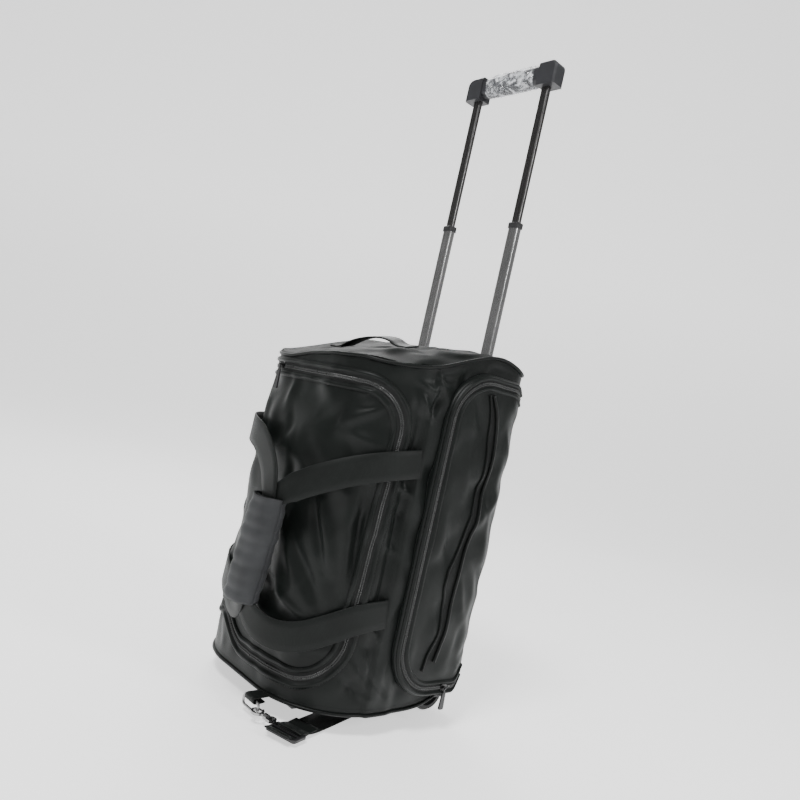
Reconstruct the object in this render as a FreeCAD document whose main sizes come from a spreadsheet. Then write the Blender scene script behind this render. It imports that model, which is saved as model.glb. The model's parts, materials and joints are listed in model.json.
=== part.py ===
import FreeCAD, Part
import math
import os

import Sketcher

# Rolling duffel bag standing upright on its wheeled end.
# +Z runs up the bag, X runs across the two trolley tubes, the zipped main flap faces -Y and
# the trolley and wheels are at +Y.  The side pocket is on +X.  Lengths are millimetres.
# Every piece is drawn about the middle of the bag's base; ORIGIN_SHIFT moves the whole bag so
# that the origin is the bottom centre of its bounding box.

V = FreeCAD.Vector
UP = V(0, 0, 1)
doc = FreeCAD.newDocument("rolling_duffel")
sheet = doc.addObject("Spreadsheet::Sheet", "Sizes")

SIZES = {
    "shift_x": -9, "shift_y": 16.62,
    "bag_width": 310, "bag_depth": 300, "floor_gap": 28, "back_top": 532, "front_top": 474,
    "slope_start": 60, "front_radius": 110, "back_radius": 32, "fabric": 5, "rim_chamfer": 5,
    "flap_top": 440, "flap_low": 76, "flap_right": 136.9, "hinge_x": -132,
    "zip_width": 28, "zip_leg_width": 12.3, "zip_corner_x": 95.8, "zip_corner_z": 56, "seam_gap": 0.5,
    "pocket_front": 7, "pocket_back": 132, "pocket_low": 72, "pocket_high": 482,
    "pocket_depth": 14, "pocket_corner": 52, "pocket_zip": 20, "pocket_skin": 3,
    "tube_spacing": 145, "tube_row": 135, "tube_corner": 2.5,
    "fixed_wide": 21.2, "fixed_deep": 15.2, "fixed_wall": 1.2, "fixed_foot": 52, "fixed_head": 526,
    "mid_wide": 18, "mid_deep": 12, "mid_wall": 1.3, "mid_length": 290, "mid_head": 744,
    "inner_wide": 14.6, "inner_deep": 8.6, "inner_wall": 1.1, "inner_length": 304, "inner_head": 984,
    "slide_gap": 0.4,
    "grip_under": 972, "grip_height": 38, "grip_deep": 26, "grip_length": 188, "grip_end": 34,
    "wheel_radius": 28, "wheel_x": 105, "wheel_y": 128, "axle_radius": 3,
    "bearing_radius": 8, "bearing_length": 18,
    "housing_wide": 31, "housing_wall": 2.5, "well_radius": 31,
    "foot_x": 52, "foot_y": -70,
    "webbing": 2, "webbing_wide": 38, "grip_wrap_x": 62, "grip_wrap_y": -187,
    "wrap_low": 142, "wrap_high": 282, "wrap_wide": 50, "wrap_deep": 32, "wrap_skin": 3,
    "handle_high": 365, "handle_low": 160, "anchor_y": -36,
    "strap_x": 130, "strap_y": -136, "strap_turn": 17.6, "strap_low": 3,
    "ring_x": 66, "ring_gauge": 3.6, "slider_x": -40, "pocket_slider_y": 90,
    "end_hem": 20, "back_hem": 26,
}
for row, (alias, number) in enumerate(SIZES.items(), start=1):
    sheet.set("A%d" % row, alias)
    sheet.set("B%d" % row, str(number))
    sheet.setAlias("B%d" % row, alias)
doc.recompute()

SUBPARTS = []


def size(alias):
    return float(sheet.get(alias))


def cell(alias):
    return "Sizes." + alias


# ------------------------------------------------------------------ small building helpers

def settle(node, x="0", y="0", z="0", turn=None):
    """Place a sub-part from its own centre to (x, y, z) of the bag, given as expressions."""
    if turn is not None:
        node.Placement = FreeCAD.Placement(V(0, 0, 0), turn)
    node.setExpression("Placement.Base.x", "Sizes.shift_x + %s" % x)
    node.setExpression("Placement.Base.y", "Sizes.shift_y + %s" % y)
    node.setExpression("Placement.Base.z", z)
    SUBPARTS.append(node)
    return node


def feature(label, shape):
    """A sub-part in fabric or wire whose shape is worked out by Part's own functions."""
    node = doc.addObject("Part::Feature", label)
    node.Label = label
    drawn = shape.Placement
    node.Shape = shape
    shift = FreeCAD.Placement(V(size("shift_x"), size("shift_y"), 0), FreeCAD.Rotation())
    node.Placement = shift.multiply(drawn)
    SUBPARTS.append(node)
    return node


def new_body(label):
    body = doc.addObject("PartDesign::Body", label)
    body.Label = label
    return body


def origin_plane(body, role):
    return [f for f in body.Origin.OriginFeatures if f.Role == role][0]


def new_sketch(body, name, role="XY_Plane", height=None):
    sketch = body.newObject("Sketcher::SketchObject", name)
    sketch.AttachmentSupport = [(origin_plane(body, role), "")]
    sketch.MapMode = "FlatFace"
    if height is not None:
        sketch.setExpression("AttachmentOffset.Base.z", height)
    return sketch


def rectangle(sketch, wide, deep):
    """A rectangle centred on the sketch's origin, its two sides bound to expressions."""
    w, d = 10.0, 8.0
    corners = [V(-w, -d, 0), V(w, -d, 0), V(w, d, 0), V(-w, d, 0)]
    lines = [Part.LineSegment(corners[i], corners[(i + 1) % 4]) for i in range(4)]
    first = sketch.addGeometry(lines, False)[0]
    for i in range(4):
        sketch.addConstraint(Sketcher.Constraint("Coincident", first + i, 2, first + (i + 1) % 4, 1))
    for i, kind in enumerate(("Horizontal", "Vertical", "Horizontal", "Vertical")):
        sketch.addConstraint(Sketcher.Constraint(kind, first + i))
    sketch.addConstraint(Sketcher.Constraint("Symmetric", first, 1, first + 1, 2, -1, 1))
    across = sketch.addConstraint(Sketcher.Constraint("DistanceX", first, 1, first, 2, 2 * w))
    along = sketch.addConstraint(Sketcher.Constraint("DistanceY", first + 1, 1, first + 1, 2, 2 * d))
    sketch.setExpression("Constraints[%d]" % across, wide)
    sketch.setExpression("Constraints[%d]" % along, deep)


def pad(body, sketch, length, name="Pad", midplane=False):
    block = body.newObject("PartDesign::Pad", name)
    block.Profile = sketch
    block.setExpression("Length", length)
    block.Midplane = midplane
    return block


def pocket_through(body, sketch, name="Pocket"):
    """Cut a sketch right through the body, both ways."""
    cut = body.newObject("PartDesign::Pocket", name)
    cut.Profile = sketch
    cut.Midplane = True
    cut.Type = 1
    return cut


def round_edges(body, feature_object, chosen, radius, name="Fillet"):
    """Round the edges of the last feature that chosen() picks."""
    doc.recompute()
    names = ["Edge%d" % (i + 1) for i, e in enumerate(feature_object.Shape.Edges) if chosen(e)]
    rounding = body.newObject("PartDesign::Fillet", name)
    rounding.Base = (feature_object, names)
    rounding.setExpression("Radius", radius)
    return rounding


def upright(edge):
    low, high = edge.Vertexes[0].Point, edge.Vertexes[-1].Point
    return abs(abs((high - low).z) - edge.Length) < 1e-6


def sharp_edges(shape, minimum=0.05):
    """Edges where two faces of a shape meet at a real angle."""
    found = []
    for edge in shape.Edges:
        beside = [f for f in shape.Faces if any(edge.isSame(e) for e in f.Edges)]
        if len(beside) != 2:
            continue
        middle = edge.valueAt((edge.FirstParameter + edge.LastParameter) / 2)
        normals = [f.normalAt(*f.Surface.parameter(middle)) for f in beside]
        if normals[0].getAngle(normals[1]) > minimum:
            found.append(edge)
    return found


def polygon(points, closed=True):
    return Part.makePolygon(list(points) + ([points[0]] if closed else []))


def arc(centre, radius, start, end, rx=None):
    """A circular or, with rx, elliptical arc in the XY plane, angles in degrees."""
    if rx is None or abs(rx - radius) < 1e-9:
        whole = Part.Circle(centre, UP, radius)
        return Part.ArcOfCircle(whole, math.radians(start), math.radians(end)).toShape()
    if rx > radius:
        whole = Part.Ellipse(centre, rx, radius)
        return Part.ArcOfEllipse(whole, math.radians(start), math.radians(end)).toShape()
    whole = Part.Ellipse(centre + V(0, radius, 0), centre + V(-rx, 0, 0), centre)
    return Part.ArcOfEllipse(whole, math.radians(start - 90), math.radians(end - 90)).toShape()


def line(a, b):
    return Part.LineSegment(a, b).toShape()


def extrude(edges, direction):
    return Part.Face(Part.Wire(Part.__sortEdges__(edges))).extrude(direction)


def stand_up(shape):
    """Turn a shape drawn in XY so that its Y becomes the bag's Z and its +Z the bag's -Y."""
    shape.rotate(V(0, 0, 0), V(1, 0, 0), 90)
    return shape


def box(x0, x1, y0, y1, z0, z1):
    return Part.makeBox(x1 - x0, y1 - y0, z1 - z0, V(x0, y0, z0))


# ------------------------------------------------------------------ the bag's fabric shell

HALF_W = size("bag_width") / 2
HALF_D = size("bag_depth") / 2
FRONT = -HALF_D
FLOOR_GAP = size("floor_gap")
GAP = size("seam_gap")


def section_edges(inset):
    """The bag's D-shaped cross-section: large round front corners, tight back corners."""
    w, d = HALF_W - inset, HALF_D - inset
    rf, rb = size("front_radius") - inset, size("back_radius") - inset
    fx, fy = w - rf, -d + rf
    bx, by = w - rb, d - rb
    return [
        line(V(-fx, -d, 0), V(fx, -d, 0)), arc(V(fx, fy, 0), rf, 270, 360),
        line(V(w, fy, 0), V(w, by, 0)), arc(V(bx, by, 0), rb, 0, 90),
        line(V(bx, d, 0), V(-bx, d, 0)), arc(V(-bx, by, 0), rb, 90, 180),
        line(V(-w, by, 0), V(-w, fy, 0)), arc(V(-fx, fy, 0), rf, 180, 270),
    ]


def side_block(inset):
    """The bag's side view as a block across X: the top end falls away towards the front."""
    top, low = size("back_top") - inset, FLOOR_GAP + inset
    start, reach = size("slope_start"), HALF_D + 60
    fall = math.atan((size("back_top") - size("front_top")) / (HALF_D + start))
    bend = 150.0
    run = bend * math.tan(fall / 2)
    crease = V(start, top, 0)
    tip = crease + V(-math.cos(fall), -math.sin(fall), 0) * (reach + start)
    before = crease + V(run, 0, 0)
    after = crease + V(-math.cos(fall), -math.sin(fall), 0) * run
    centre = before - V(0, bend, 0)
    middle = centre + V(-math.sin(fall / 2), math.cos(fall / 2), 0) * bend
    outline = [
        line(V(tip.x, low, 0), V(reach, low, 0)), line(V(reach, low, 0), V(reach, top, 0)),
        line(V(reach, top, 0), before), Part.Arc(before, middle, after).toShape(),
        line(after, tip), line(tip, V(tip.x, low, 0)),
    ]
    block = extrude(outline, V(0, 0, 2 * HALF_W + 80))
    block.rotate(V(0, 0, 0), V(1, 1, 1), 120)
    block.translate(V(-HALF_W - 40, 0, 0))
    return block


def bag_solid(inset):
    height = size("back_top") + 60
    return extrude(section_edges(inset), V(0, 0, height)).common(side_block(inset))


def flap_prism(grow, grow_leg, left):
    """A front-facing prism with the flap's outline, grown all round by the given amounts."""
    high, low = size("flap_top") + grow, size("flap_low") - grow
    right, cx = size("flap_right") + grow_leg, size("zip_corner_x")
    round_high = size("zip_corner_z") + grow
    rx = right - cx
    outline = [
        line(V(left, low, 0), V(cx, low, 0)),
        arc(V(cx, low + round_high, 0), round_high, 270, 360, rx),
        line(V(right, low + round_high, 0), V(right, high - round_high, 0)),
        arc(V(cx, high - round_high, 0), round_high, 0, 90, rx),
        line(V(cx, high, 0), V(left, high, 0)), line(V(left, high, 0), V(left, low, 0)),
    ]
    prism = stand_up(extrude(outline, V(0, 0, 120)))
    prism.translate(V(0, FRONT + 90, 0))
    return prism


OUTER = bag_solid(0)
OUTER = OUTER.makeChamfer(size("rim_chamfer"), sharp_edges(OUTER))
INNER = bag_solid(size("fabric"))
SKIN = OUTER.cut(INNER)

FLAP_LEFT = size("hinge_x")
TAPE_PRISM = flap_prism(size("zip_width"), size("zip_leg_width"), FLAP_LEFT)
OPENING = flap_prism(0, 0, FLAP_LEFT - 1)


def housing_clearance(side):
    """The corner taken out of the fabric for one wheel housing."""
    reach = size("housing_wide") / 2 + GAP
    x = side * size("wheel_x")
    return box(x - reach, x + reach, 92.5, HALF_D + 1, FLOOR_GAP - 1, 66)


def bezel_clearance(side):
    x = side * size("tube_spacing") / 2
    wide, deep = size("fixed_wide") / 2 + 2.5, size("fixed_deep") / 2 + 2.5
    y = size("tube_row")
    return box(x - wide, x + wide, y - deep, y + deep, size("back_top") - 12, size("back_top") + 1)


def bag_fabric():
    """The body's fabric in the pieces it is sewn from: side walls, back panel and two ends."""
    cloth = SKIN.cut(flap_prism(size("zip_width") + GAP, size("zip_leg_width") + GAP, FLAP_LEFT - GAP))
    for side in (-1, 1):
        cloth = cloth.cut(housing_clearance(side)).cut(bezel_clearance(side))
    walls = cloth.common(side_block(size("end_hem")))
    ends = cloth.cut(side_block(size("end_hem")))
    behind = box(-HALF_W - 1, HALF_W + 1, HALF_D - size("back_hem"), HALF_D + 1, 0, size("back_top") + 1)
    middle = size("back_top") / 2
    feature("bag_shell", walls.cut(behind))
    feature("bag_back_panel", walls.common(behind))
    feature("bag_top_end", Part.makeCompound([e for e in ends.Solids if e.CenterOfMass.z > middle]))
    feature("bag_base_end", Part.makeCompound([e for e in ends.Solids if e.CenterOfMass.z < middle]))


def main_zip_tape():
    """The U of zip tape and coils that frames the flap on its top, near and bottom sides."""
    band = TAPE_PRISM.cut(OPENING)
    return feature("main_zip_tape", SKIN.common(band))


def main_flap():
    panel = flap_prism(-GAP, -GAP, FLAP_LEFT)
    return feature("main_flap", SKIN.common(panel))


def back_board():
    """Stiff board between the compartment and the trolley tubes, with weight-saving slots."""
    body = new_body("back_board")
    outline = new_sketch(body, "BoardOutline", "XZ_Plane")
    rectangle(outline, "Sizes.bag_width - 50", "Sizes.back_top - 100")
    plate = pad(body, outline, "2.4", midplane=True)
    doc.recompute()
    round_edges(body, plate, lambda e: abs(e.Length - 2.4) < 0.01, "18")
    slot = new_sketch(body, "SlotOutline", "XZ_Plane")
    rectangle(slot, "34", "70")
    cut = pocket_through(body, slot)
    doc.recompute()
    rows = body.newObject("PartDesign::LinearPattern", "SlotPattern")
    rows.Originals = [cut]
    rows.Direction = (slot, ["H_Axis"])
    rows.Length = 160
    rows.Occurrences = 3
    body.Tip = rows
    return settle(body, y="122", z="Sizes.back_top / 2 + 18")


# ------------------------------------------------------------------ side pocket

def pocket_outline(grow, back):
    """The pocket's outline on the +X side, its front corners round, as edges in XY (y, z)."""
    front, low, high = size("pocket_front") - grow, size("pocket_low") - grow, size("pocket_high") + grow
    r = size("pocket_corner") + grow
    return [
        line(V(back, low, 0), V(back, high, 0)), line(V(back, high, 0), V(front + r, high, 0)),
        arc(V(front + r, high - r, 0), r, 90, 180), line(V(front, high - r, 0), V(front, low + r, 0)),
        arc(V(front + r, low + r, 0), r, 180, 270), line(V(front + r, low, 0), V(back, low, 0)),
    ]


def pocket_block(grow, back, x0, x1):
    block = extrude(pocket_outline(grow, back), V(0, 0, x1 - x0))
    block.rotate(V(0, 0, 0), V(1, 1, 1), 120)
    block.translate(V(x0, 0, 0))
    return block


def pocket_gusset():
    """The low fabric wall that stands the pocket off the bag's side."""
    x0, x1 = HALF_W + 0.02, HALF_W + size("pocket_depth") - size("pocket_skin")
    back = size("pocket_back")
    ring = pocket_block(size("pocket_zip"), back, x0, x1).cut(
        pocket_block(size("pocket_zip") - 4, back - 4, x0 - 1, x1 + 1))
    return feature("pocket_gusset", ring)


def pocket_zip_tape():
    x1 = HALF_W + size("pocket_depth")
    x0 = x1 - size("pocket_skin") + 0.02
    back = size("pocket_back")
    ring = pocket_block(size("pocket_zip"), back, x0, x1).cut(
        pocket_block(0, back + 1, x0 - 1, x1 + 1))
    return feature("pocket_zip_tape", ring)


def pocket_flap():
    """The pocket's front panel, hinged along the bag's back edge."""
    x1 = HALF_W + size("pocket_depth")
    x0 = x1 - size("pocket_skin") + 0.02
    panel = pocket_block(-GAP, size("pocket_back"), x0, x1)
    return feature("pocket_flap", panel)


# ------------------------------------------------------------------ trolley

def tube(label, wide, deep, wall, length, side, foot):
    """A rectangular tube with rounded corners, standing on the height foot."""
    body = new_body(label)
    outer = new_sketch(body, label + "_outline")
    rectangle(outer, cell(wide), cell(deep))
    solid = pad(body, outer, length)
    round_edges(body, solid, upright, cell("tube_corner"))
    doc.recompute()
    bore = new_sketch(body, label + "_bore")
    rectangle(bore, "%s - 2 * %s" % (cell(wide), cell(wall)), "%s - 2 * %s" % (cell(deep), cell(wall)))
    pocket_through(body, bore)
    return settle(body, "%d * Sizes.tube_spacing / 2" % side, "Sizes.tube_row", foot)


def tube_plug(wide, deep, wall, z, height, side, bore=0.0):
    """A plastic plug that fills a tube's end."""
    w = size(wide) - 2 * size(wall) - 0.04
    d = size(deep) - 2 * size(wall) - 0.04
    x, y = side * size("tube_spacing") / 2, size("tube_row")
    block = box(x - w / 2, x + w / 2, y - d / 2, y + d / 2, z, z + height)
    if bore:
        block = block.cut(Part.makeCylinder(bore, height + 2, V(x, y, z - 1)))
    return block


def tube_bezel():
    """Moulded plate on the bag's top that the mid tubes slide through, with throats below."""
    body = new_body("tube_bezel")
    plate = new_sketch(body, "BezelPlate")
    rectangle(plate, "Sizes.tube_spacing + 46", "30")
    top = pad(body, plate, "5", "BezelTop")
    rounded = round_edges(body, top, upright, "12", "BezelCorners")
    doc.recompute()
    rim = body.newObject("PartDesign::Chamfer", "BezelRim")
    rim.Base = (rounded, ["Edge%d" % (i + 1) for i, e in enumerate(rounded.Shape.Edges)
                          if e.CenterOfMass.z > 4.9])
    rim.Size = 1.6
    doc.recompute()
    throat = new_sketch(body, "BezelThroats")
    for side in (-1, 1):
        throat_rectangle(throat, side, "Sizes.fixed_wide + 4", "Sizes.fixed_deep + 4")
    down = pad(body, throat, "5.4", "BezelThroatPad")
    down.Reversed = True
    doc.recompute()
    bore = new_sketch(body, "BezelBores")
    for side in (-1, 1):
        throat_rectangle(bore, side, "Sizes.mid_wide + 2 * Sizes.slide_gap",
                         "Sizes.mid_deep + 2 * Sizes.slide_gap")
    pocket_through(body, bore, "BezelBoreCut")
    return settle(body, y="Sizes.tube_row", z="Sizes.back_top + 0.3")


def throat_rectangle(sketch, side, wide, deep):
    """A rectangle centred on one tube's axis, both sides bound to expressions."""
    cx, w, d = side * size("tube_spacing") / 2, 9.0, 7.0
    corners = [V(cx - w, -d, 0), V(cx + w, -d, 0), V(cx + w, d, 0), V(cx - w, d, 0)]
    lines = [Part.LineSegment(corners[i], corners[(i + 1) % 4]) for i in range(4)]
    first = sketch.addGeometry(lines, False)[0]
    for i in range(4):
        sketch.addConstraint(Sketcher.Constraint("Coincident", first + i, 2, first + (i + 1) % 4, 1))
    for i, kind in enumerate(("Horizontal", "Vertical", "Horizontal", "Vertical")):
        sketch.addConstraint(Sketcher.Constraint(kind, first + i))
    middle = sketch.addGeometry(Part.Point(V(cx, 0, 0)), True)
    sketch.addConstraint(Sketcher.Constraint("Symmetric", first, 1, first + 1, 2, middle, 1))
    sketch.addConstraint(Sketcher.Constraint("PointOnObject", middle, 1, -1))
    rules = [
        (sketch.addConstraint(Sketcher.Constraint("DistanceX", -1, 1, middle, 1, cx)),
         "%d * Sizes.tube_spacing / 2" % side),
        (sketch.addConstraint(Sketcher.Constraint("DistanceX", first, 1, first, 2, 2 * w)), wide),
        (sketch.addConstraint(Sketcher.Constraint("DistanceY", first + 1, 1, first + 1, 2, 2 * d)), deep),
    ]
    for rule, expression in rules:
        sketch.setExpression("Constraints[%d]" % rule, expression)


def tube_foot():
    """Moulded bar across the bag's bottom with a socket for each fixed tube."""
    body = new_body("tube_foot")
    bar = new_sketch(body, "FootBar")
    rectangle(bar, "Sizes.tube_spacing + Sizes.fixed_wide + 5", "18.6")
    solid = pad(body, bar, "24", "FootPad")
    round_edges(body, solid, upright, "4", "FootCorners")
    doc.recompute()
    sockets = new_sketch(body, "FootSockets", height="6")
    for side in (-1, 1):
        throat_rectangle(sockets, side, "Sizes.fixed_wide + 0.1", "Sizes.fixed_deep + 0.1")
    cut = body.newObject("PartDesign::Pocket", "FootSocketCut")
    cut.Profile = sockets
    cut.Length = 30
    cut.Reversed = True
    doc.recompute()
    middle = new_sketch(body, "FootRelief", height="6")
    rectangle(middle, "Sizes.tube_spacing - Sizes.fixed_wide - 14", "12")
    relief = body.newObject("PartDesign::Pocket", "FootReliefCut")
    relief.Profile = middle
    relief.Length = 30
    relief.Reversed = True
    return settle(body, y="Sizes.tube_row", z="Sizes.fixed_foot - 6")


def compound(label, shapes):
    """Identical small pieces that share one node, as separate solids."""
    return feature(label, Part.makeCompound(shapes))


def mid_collars():
    """Moulded collar on top of each mid tube, through which the inner tube slides."""
    collars = []
    for side in (-1, 1):
        x, y, z = side * size("tube_spacing") / 2, size("tube_row"), size("mid_head") + 0.02
        w, d = size("mid_wide") / 2 + 1.4, size("mid_deep") / 2 + 1.4
        bw = size("inner_wide") / 2 + size("slide_gap")
        bd = size("inner_deep") / 2 + size("slide_gap")
        block = box(x - w, x + w, y - d, y + d, z, z + 9)
        block = block.makeChamfer(2, [e for e in block.Edges if upright(e)])
        block = block.makeChamfer(1.2, [e for e in block.Edges if e.CenterOfMass.z > z + 8.9])
        collars.append(block.cut(box(x - bw, x + bw, y - bd, y + bd, z - 1, z + 10)))
    return compound("mid_collars", collars)


def mid_guides():
    """Plastic guide in the foot of each mid tube, with its sprung lock pin in line."""
    foot = size("mid_head") - size("mid_length")
    plugs = [tube_plug("mid_wide", "mid_deep", "mid_wall", foot, 14, side) for side in (-1, 1)]
    return compound("mid_guides", plugs)


def inner_guides():
    foot = size("inner_head") - size("inner_length")
    return compound("inner_guides",
                    [tube_plug("inner_wide", "inner_deep", "inner_wall", foot, 14, s) for s in (-1, 1)])


def grip_cap(side):
    """Moulded corner of the pull handle: a tall block that swallows the inner tube's head."""
    x = side * size("tube_spacing") / 2
    y, z = size("tube_row"), size("grip_under")
    half = size("grip_length") / 2
    deep, high = size("grip_deep") / 2, size("grip_height")
    inner_edge = half - size("grip_end")
    x0, x1 = sorted((side * inner_edge, side * half))
    block = box(x0, x1, y - deep, y + deep, z, z + high)
    outside = [e for e in block.Edges if abs(e.CenterOfMass.x - side * half) < 0.01 and not upright(e)
               and abs(e.CenterOfMass.z - z) > 1]
    top_outer = [e for e in outside if abs(e.CenterOfMass.z - z - high) < 0.01]
    block = block.makeFillet(13, top_outer)
    block = block.makeChamfer(3, [e for e in sharp_edges(block)
                                   if abs(e.CenterOfMass.x - side * inner_edge) > 0.5
                                   and e.CenterOfMass.z > z + 0.5])
    w = size("inner_wide") / 2 + 0.03
    d = size("inner_deep") / 2 + 0.03
    socket = box(x - w, x + w, y - d, y + d, z - 1, size("inner_head") + 0.03)
    return block.cut(socket).cut(yoke_channel(size("tube_spacing") / 2 + 3.6))


def grip_core():
    """The straight hand bar between the two moulded corners, round topped, with the button well."""
    half = size("grip_length") / 2 - size("grip_end") - 0.02
    y, z = size("tube_row"), size("grip_under") + 5
    deep, high = size("grip_deep") / 2 - 1.5, size("grip_height") - 8
    bar = box(-half, half, y - deep, y + deep, z, z + high)
    bar = bar.makeFillet(9, [e for e in bar.Edges if abs(e.Length - 2 * half) < 0.01])
    well = box(-16.4, 16.4, y - 6.9, y + 6.9, z + high - 9, z + high + 5)
    stem = Part.makeCylinder(3.4, 19, V(0, y, z + high - 19))
    return feature("grip_core", bar.cut([well, yoke_channel(half + 1), stem]))


def yoke_channel(reach):
    """The slot inside the pull handle that the cross bar moves in."""
    y, z = size("tube_row"), size("inner_head") - 0.2
    return box(-reach, reach, y - 2.8, y + 2.8, z, z + 11.4)


def release_button():
    """The push button in the top of the hand bar, crowned and ribbed."""
    y, z = size("tube_row"), size("grip_under") + size("grip_height") - 3
    block = box(-16, 16, y - 6.5, y + 6.5, z - 4.6, z + 2.6)
    block = block.makeChamfer(3, [e for e in block.Edges if upright(e)])
    block = block.makeChamfer(1.2, [e for e in block.Edges if e.CenterOfMass.z > z + 2.5])
    for i in range(-2, 3):
        groove = box(i * 5 - 0.7, i * 5 + 0.7, y - 7, y + 7, z + 2.0, z + 4)
        block = block.cut(groove)
    return feature("release_button", block)


# ------------------------------------------------------------------ wheels

def revolved(label, outline):
    """A body made by one revolution of an outline drawn as (radius, across) points."""
    body = new_body(label)
    sketch = new_sketch(body, label + "_outline")
    points = [V(r, a, 0) for r, a in outline]
    lines = [Part.LineSegment(points[i], points[(i + 1) % len(points)]) for i in range(len(points))]
    sketch.addGeometry(lines, False)
    for i in range(len(points)):
        sketch.addConstraint(Sketcher.Constraint("Coincident", i, 2, (i + 1) % len(points), 1))
    for i in range(len(points)):
        sketch.addConstraint(Sketcher.Constraint("Block", i))
    spin = body.newObject("PartDesign::Revolution", "Revolution")
    spin.Profile = sketch
    spin.ReferenceAxis = (sketch, ["V_Axis"])
    spin.Angle = 360
    return body


SPIN_TO_X = FreeCAD.Rotation(UP, -90)


def wheel(side, name):
    x = "%d * Sizes.wheel_x" % side
    hub = revolved("hub_" + name, [
        (8.03, -9.5), (11, -9.5), (11, -4), (20, -4), (20, 4), (11, 4), (11, 9.5), (8.03, 9.5)])
    settle(hub, x, "Sizes.wheel_y", "Sizes.wheel_radius", SPIN_TO_X)

    tread = [(20.03, -11), (25.5, -11), (28, -7.5), (28, 7.5), (25.5, 11), (20.03, 11)]
    tyre = revolved("tyre_" + name, tread)
    settle(tyre, x, "Sizes.wheel_y", "Sizes.wheel_radius", SPIN_TO_X)

    centre = V(side * size("wheel_x"), size("wheel_y"), size("wheel_radius"))
    length = size("bearing_length")
    start = centre - V(length / 2, 0, 0)
    sleeve = Part.makeCylinder(size("bearing_radius"), length, start, V(1, 0, 0))
    bore = Part.makeCylinder(size("axle_radius") + 0.05, length, start, V(1, 0, 0))
    feature("bearings_" + name, sleeve.cut(bore))

    reach = size("housing_wide") / 2
    axle = Part.makeCylinder(size("axle_radius"), 2 * reach, centre - V(reach, 0, 0), V(1, 0, 0))
    feature("axle_" + name, axle)


def wheel_housing(side, name):
    """Moulded corner that carries the wheel: well, axle bosses, ribbed mudguard and flanges."""
    x, y, z = side * size("wheel_x"), size("wheel_y"), size("wheel_radius")
    half = size("housing_wide") / 2
    inside = half - size("housing_wall")
    well = size("well_radius")
    low = FLOOR_GAP - 2.3
    block = box(x - half, x + half, 93, HALF_D - 0.5, low, 64)
    block = block.makeFillet(14, [e for e in block.Edges if abs(e.Length - 2 * half) < 0.01
                                  and e.CenterOfMass.z > 60 and e.CenterOfMass.y < 100])
    guard = Part.makeCylinder(well + 3, 2 * half, V(x - half, y, z), V(1, 0, 0))
    ribs = [Part.makeCylinder(well + 4.4, 2, V(x + place - 1, y, z), V(1, 0, 0)) for place in (-9, 0, 9)]
    rear = box(x - half, x + half, y, y + 60, low, 100)
    block = block.fuse([guard.fuse(ribs).common(rear)])
    block = block.fuse([
        box(x - half - 7, x + half + 7, 86, HALF_D - 4, low, FLOOR_GAP - 0.2),
        box(x - half - 5, x + half + 5, HALF_D + 0.2, HALF_D + 2.4, low, 74),
    ])
    block = block.cut(Part.makeCylinder(well, 2 * inside, V(x - inside, y, z), V(1, 0, 0)))
    block = block.cut(box(x - inside, x + inside, y - well, y + well + 6, 0, z - 0.001))
    bosses = [Part.makeCylinder(6, 2.2, V(x + end, y, z), V(1, 0, 0)) for end in (-inside, inside - 2.2)]
    bosses = [boss.common(box(x - half, x + half, y - 9, y + 9, low, z + 9)) for boss in bosses]
    block = block.fuse(bosses)
    block = block.cut(Part.makeCylinder(size("axle_radius") + 0.02, 2 * half + 2,
                                        V(x - half - 1, y, z), V(1, 0, 0)))
    return feature("wheel_housing_" + name, block.removeSplitter())


def stand_foot(side, name):
    """Moulded foot: a tapered pad under a square flange, its corners cut back."""
    x, y = side * size("foot_x"), size("foot_y")
    flange_low, top = FLOOR_GAP - 3.3, FLOOR_GAP - 0.3
    flange = box(x - 18, x + 18, y - 18, y + 18, flange_low, top)
    flange = flange.makeChamfer(5, [e for e in flange.Edges if upright(e)])
    levels = [(10.5, 0), (12.5, 2), (15, flange_low)]
    rings = [[V(x - r, y - r, z), V(x + r, y - r, z), V(x + r, y + r, z), V(x - r, y + r, z)]
             for r, z in levels]
    faces = [Part.Face(polygon(rings[0])), Part.Face(polygon(rings[-1]))]
    for below, above in zip(rings, rings[1:]):
        for i in range(4):
            j = (i + 1) % 4
            faces.append(Part.Face(polygon([below[i], below[j], above[j], above[i]])))
    taper = Part.Solid(Part.Shell(faces))
    return feature("stand_foot_" + name, flange.fuse(taper).removeSplitter())


def skid_rail(side, name):
    """Moulded runner on the bag's back, above the wheel, that takes the wear of kerbs."""
    x = side * size("wheel_x")
    rail = box(x - 8, x + 8, HALF_D + 0.3, HALF_D + 8, 92, 470)
    rail = rail.makeChamfer(5, [e for e in rail.Edges if abs(e.Length - 16) < 0.01
                                and e.CenterOfMass.y > HALF_D + 7])
    rail = rail.makeChamfer(2.4, [e for e in sharp_edges(rail) if e.CenterOfMass.y > HALF_D + 4
                                  and abs(abs(e.CenterOfMass.x - x) - 8) < 0.01])
    for z in range(150, 440, 24):
        rail = rail.cut(box(x - 9, x + 9, HALF_D + 6.6, HALF_D + 9, z, z + 8))
    return feature("skid_rail_" + name, rail)


# ------------------------------------------------------------------ webbing

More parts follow.
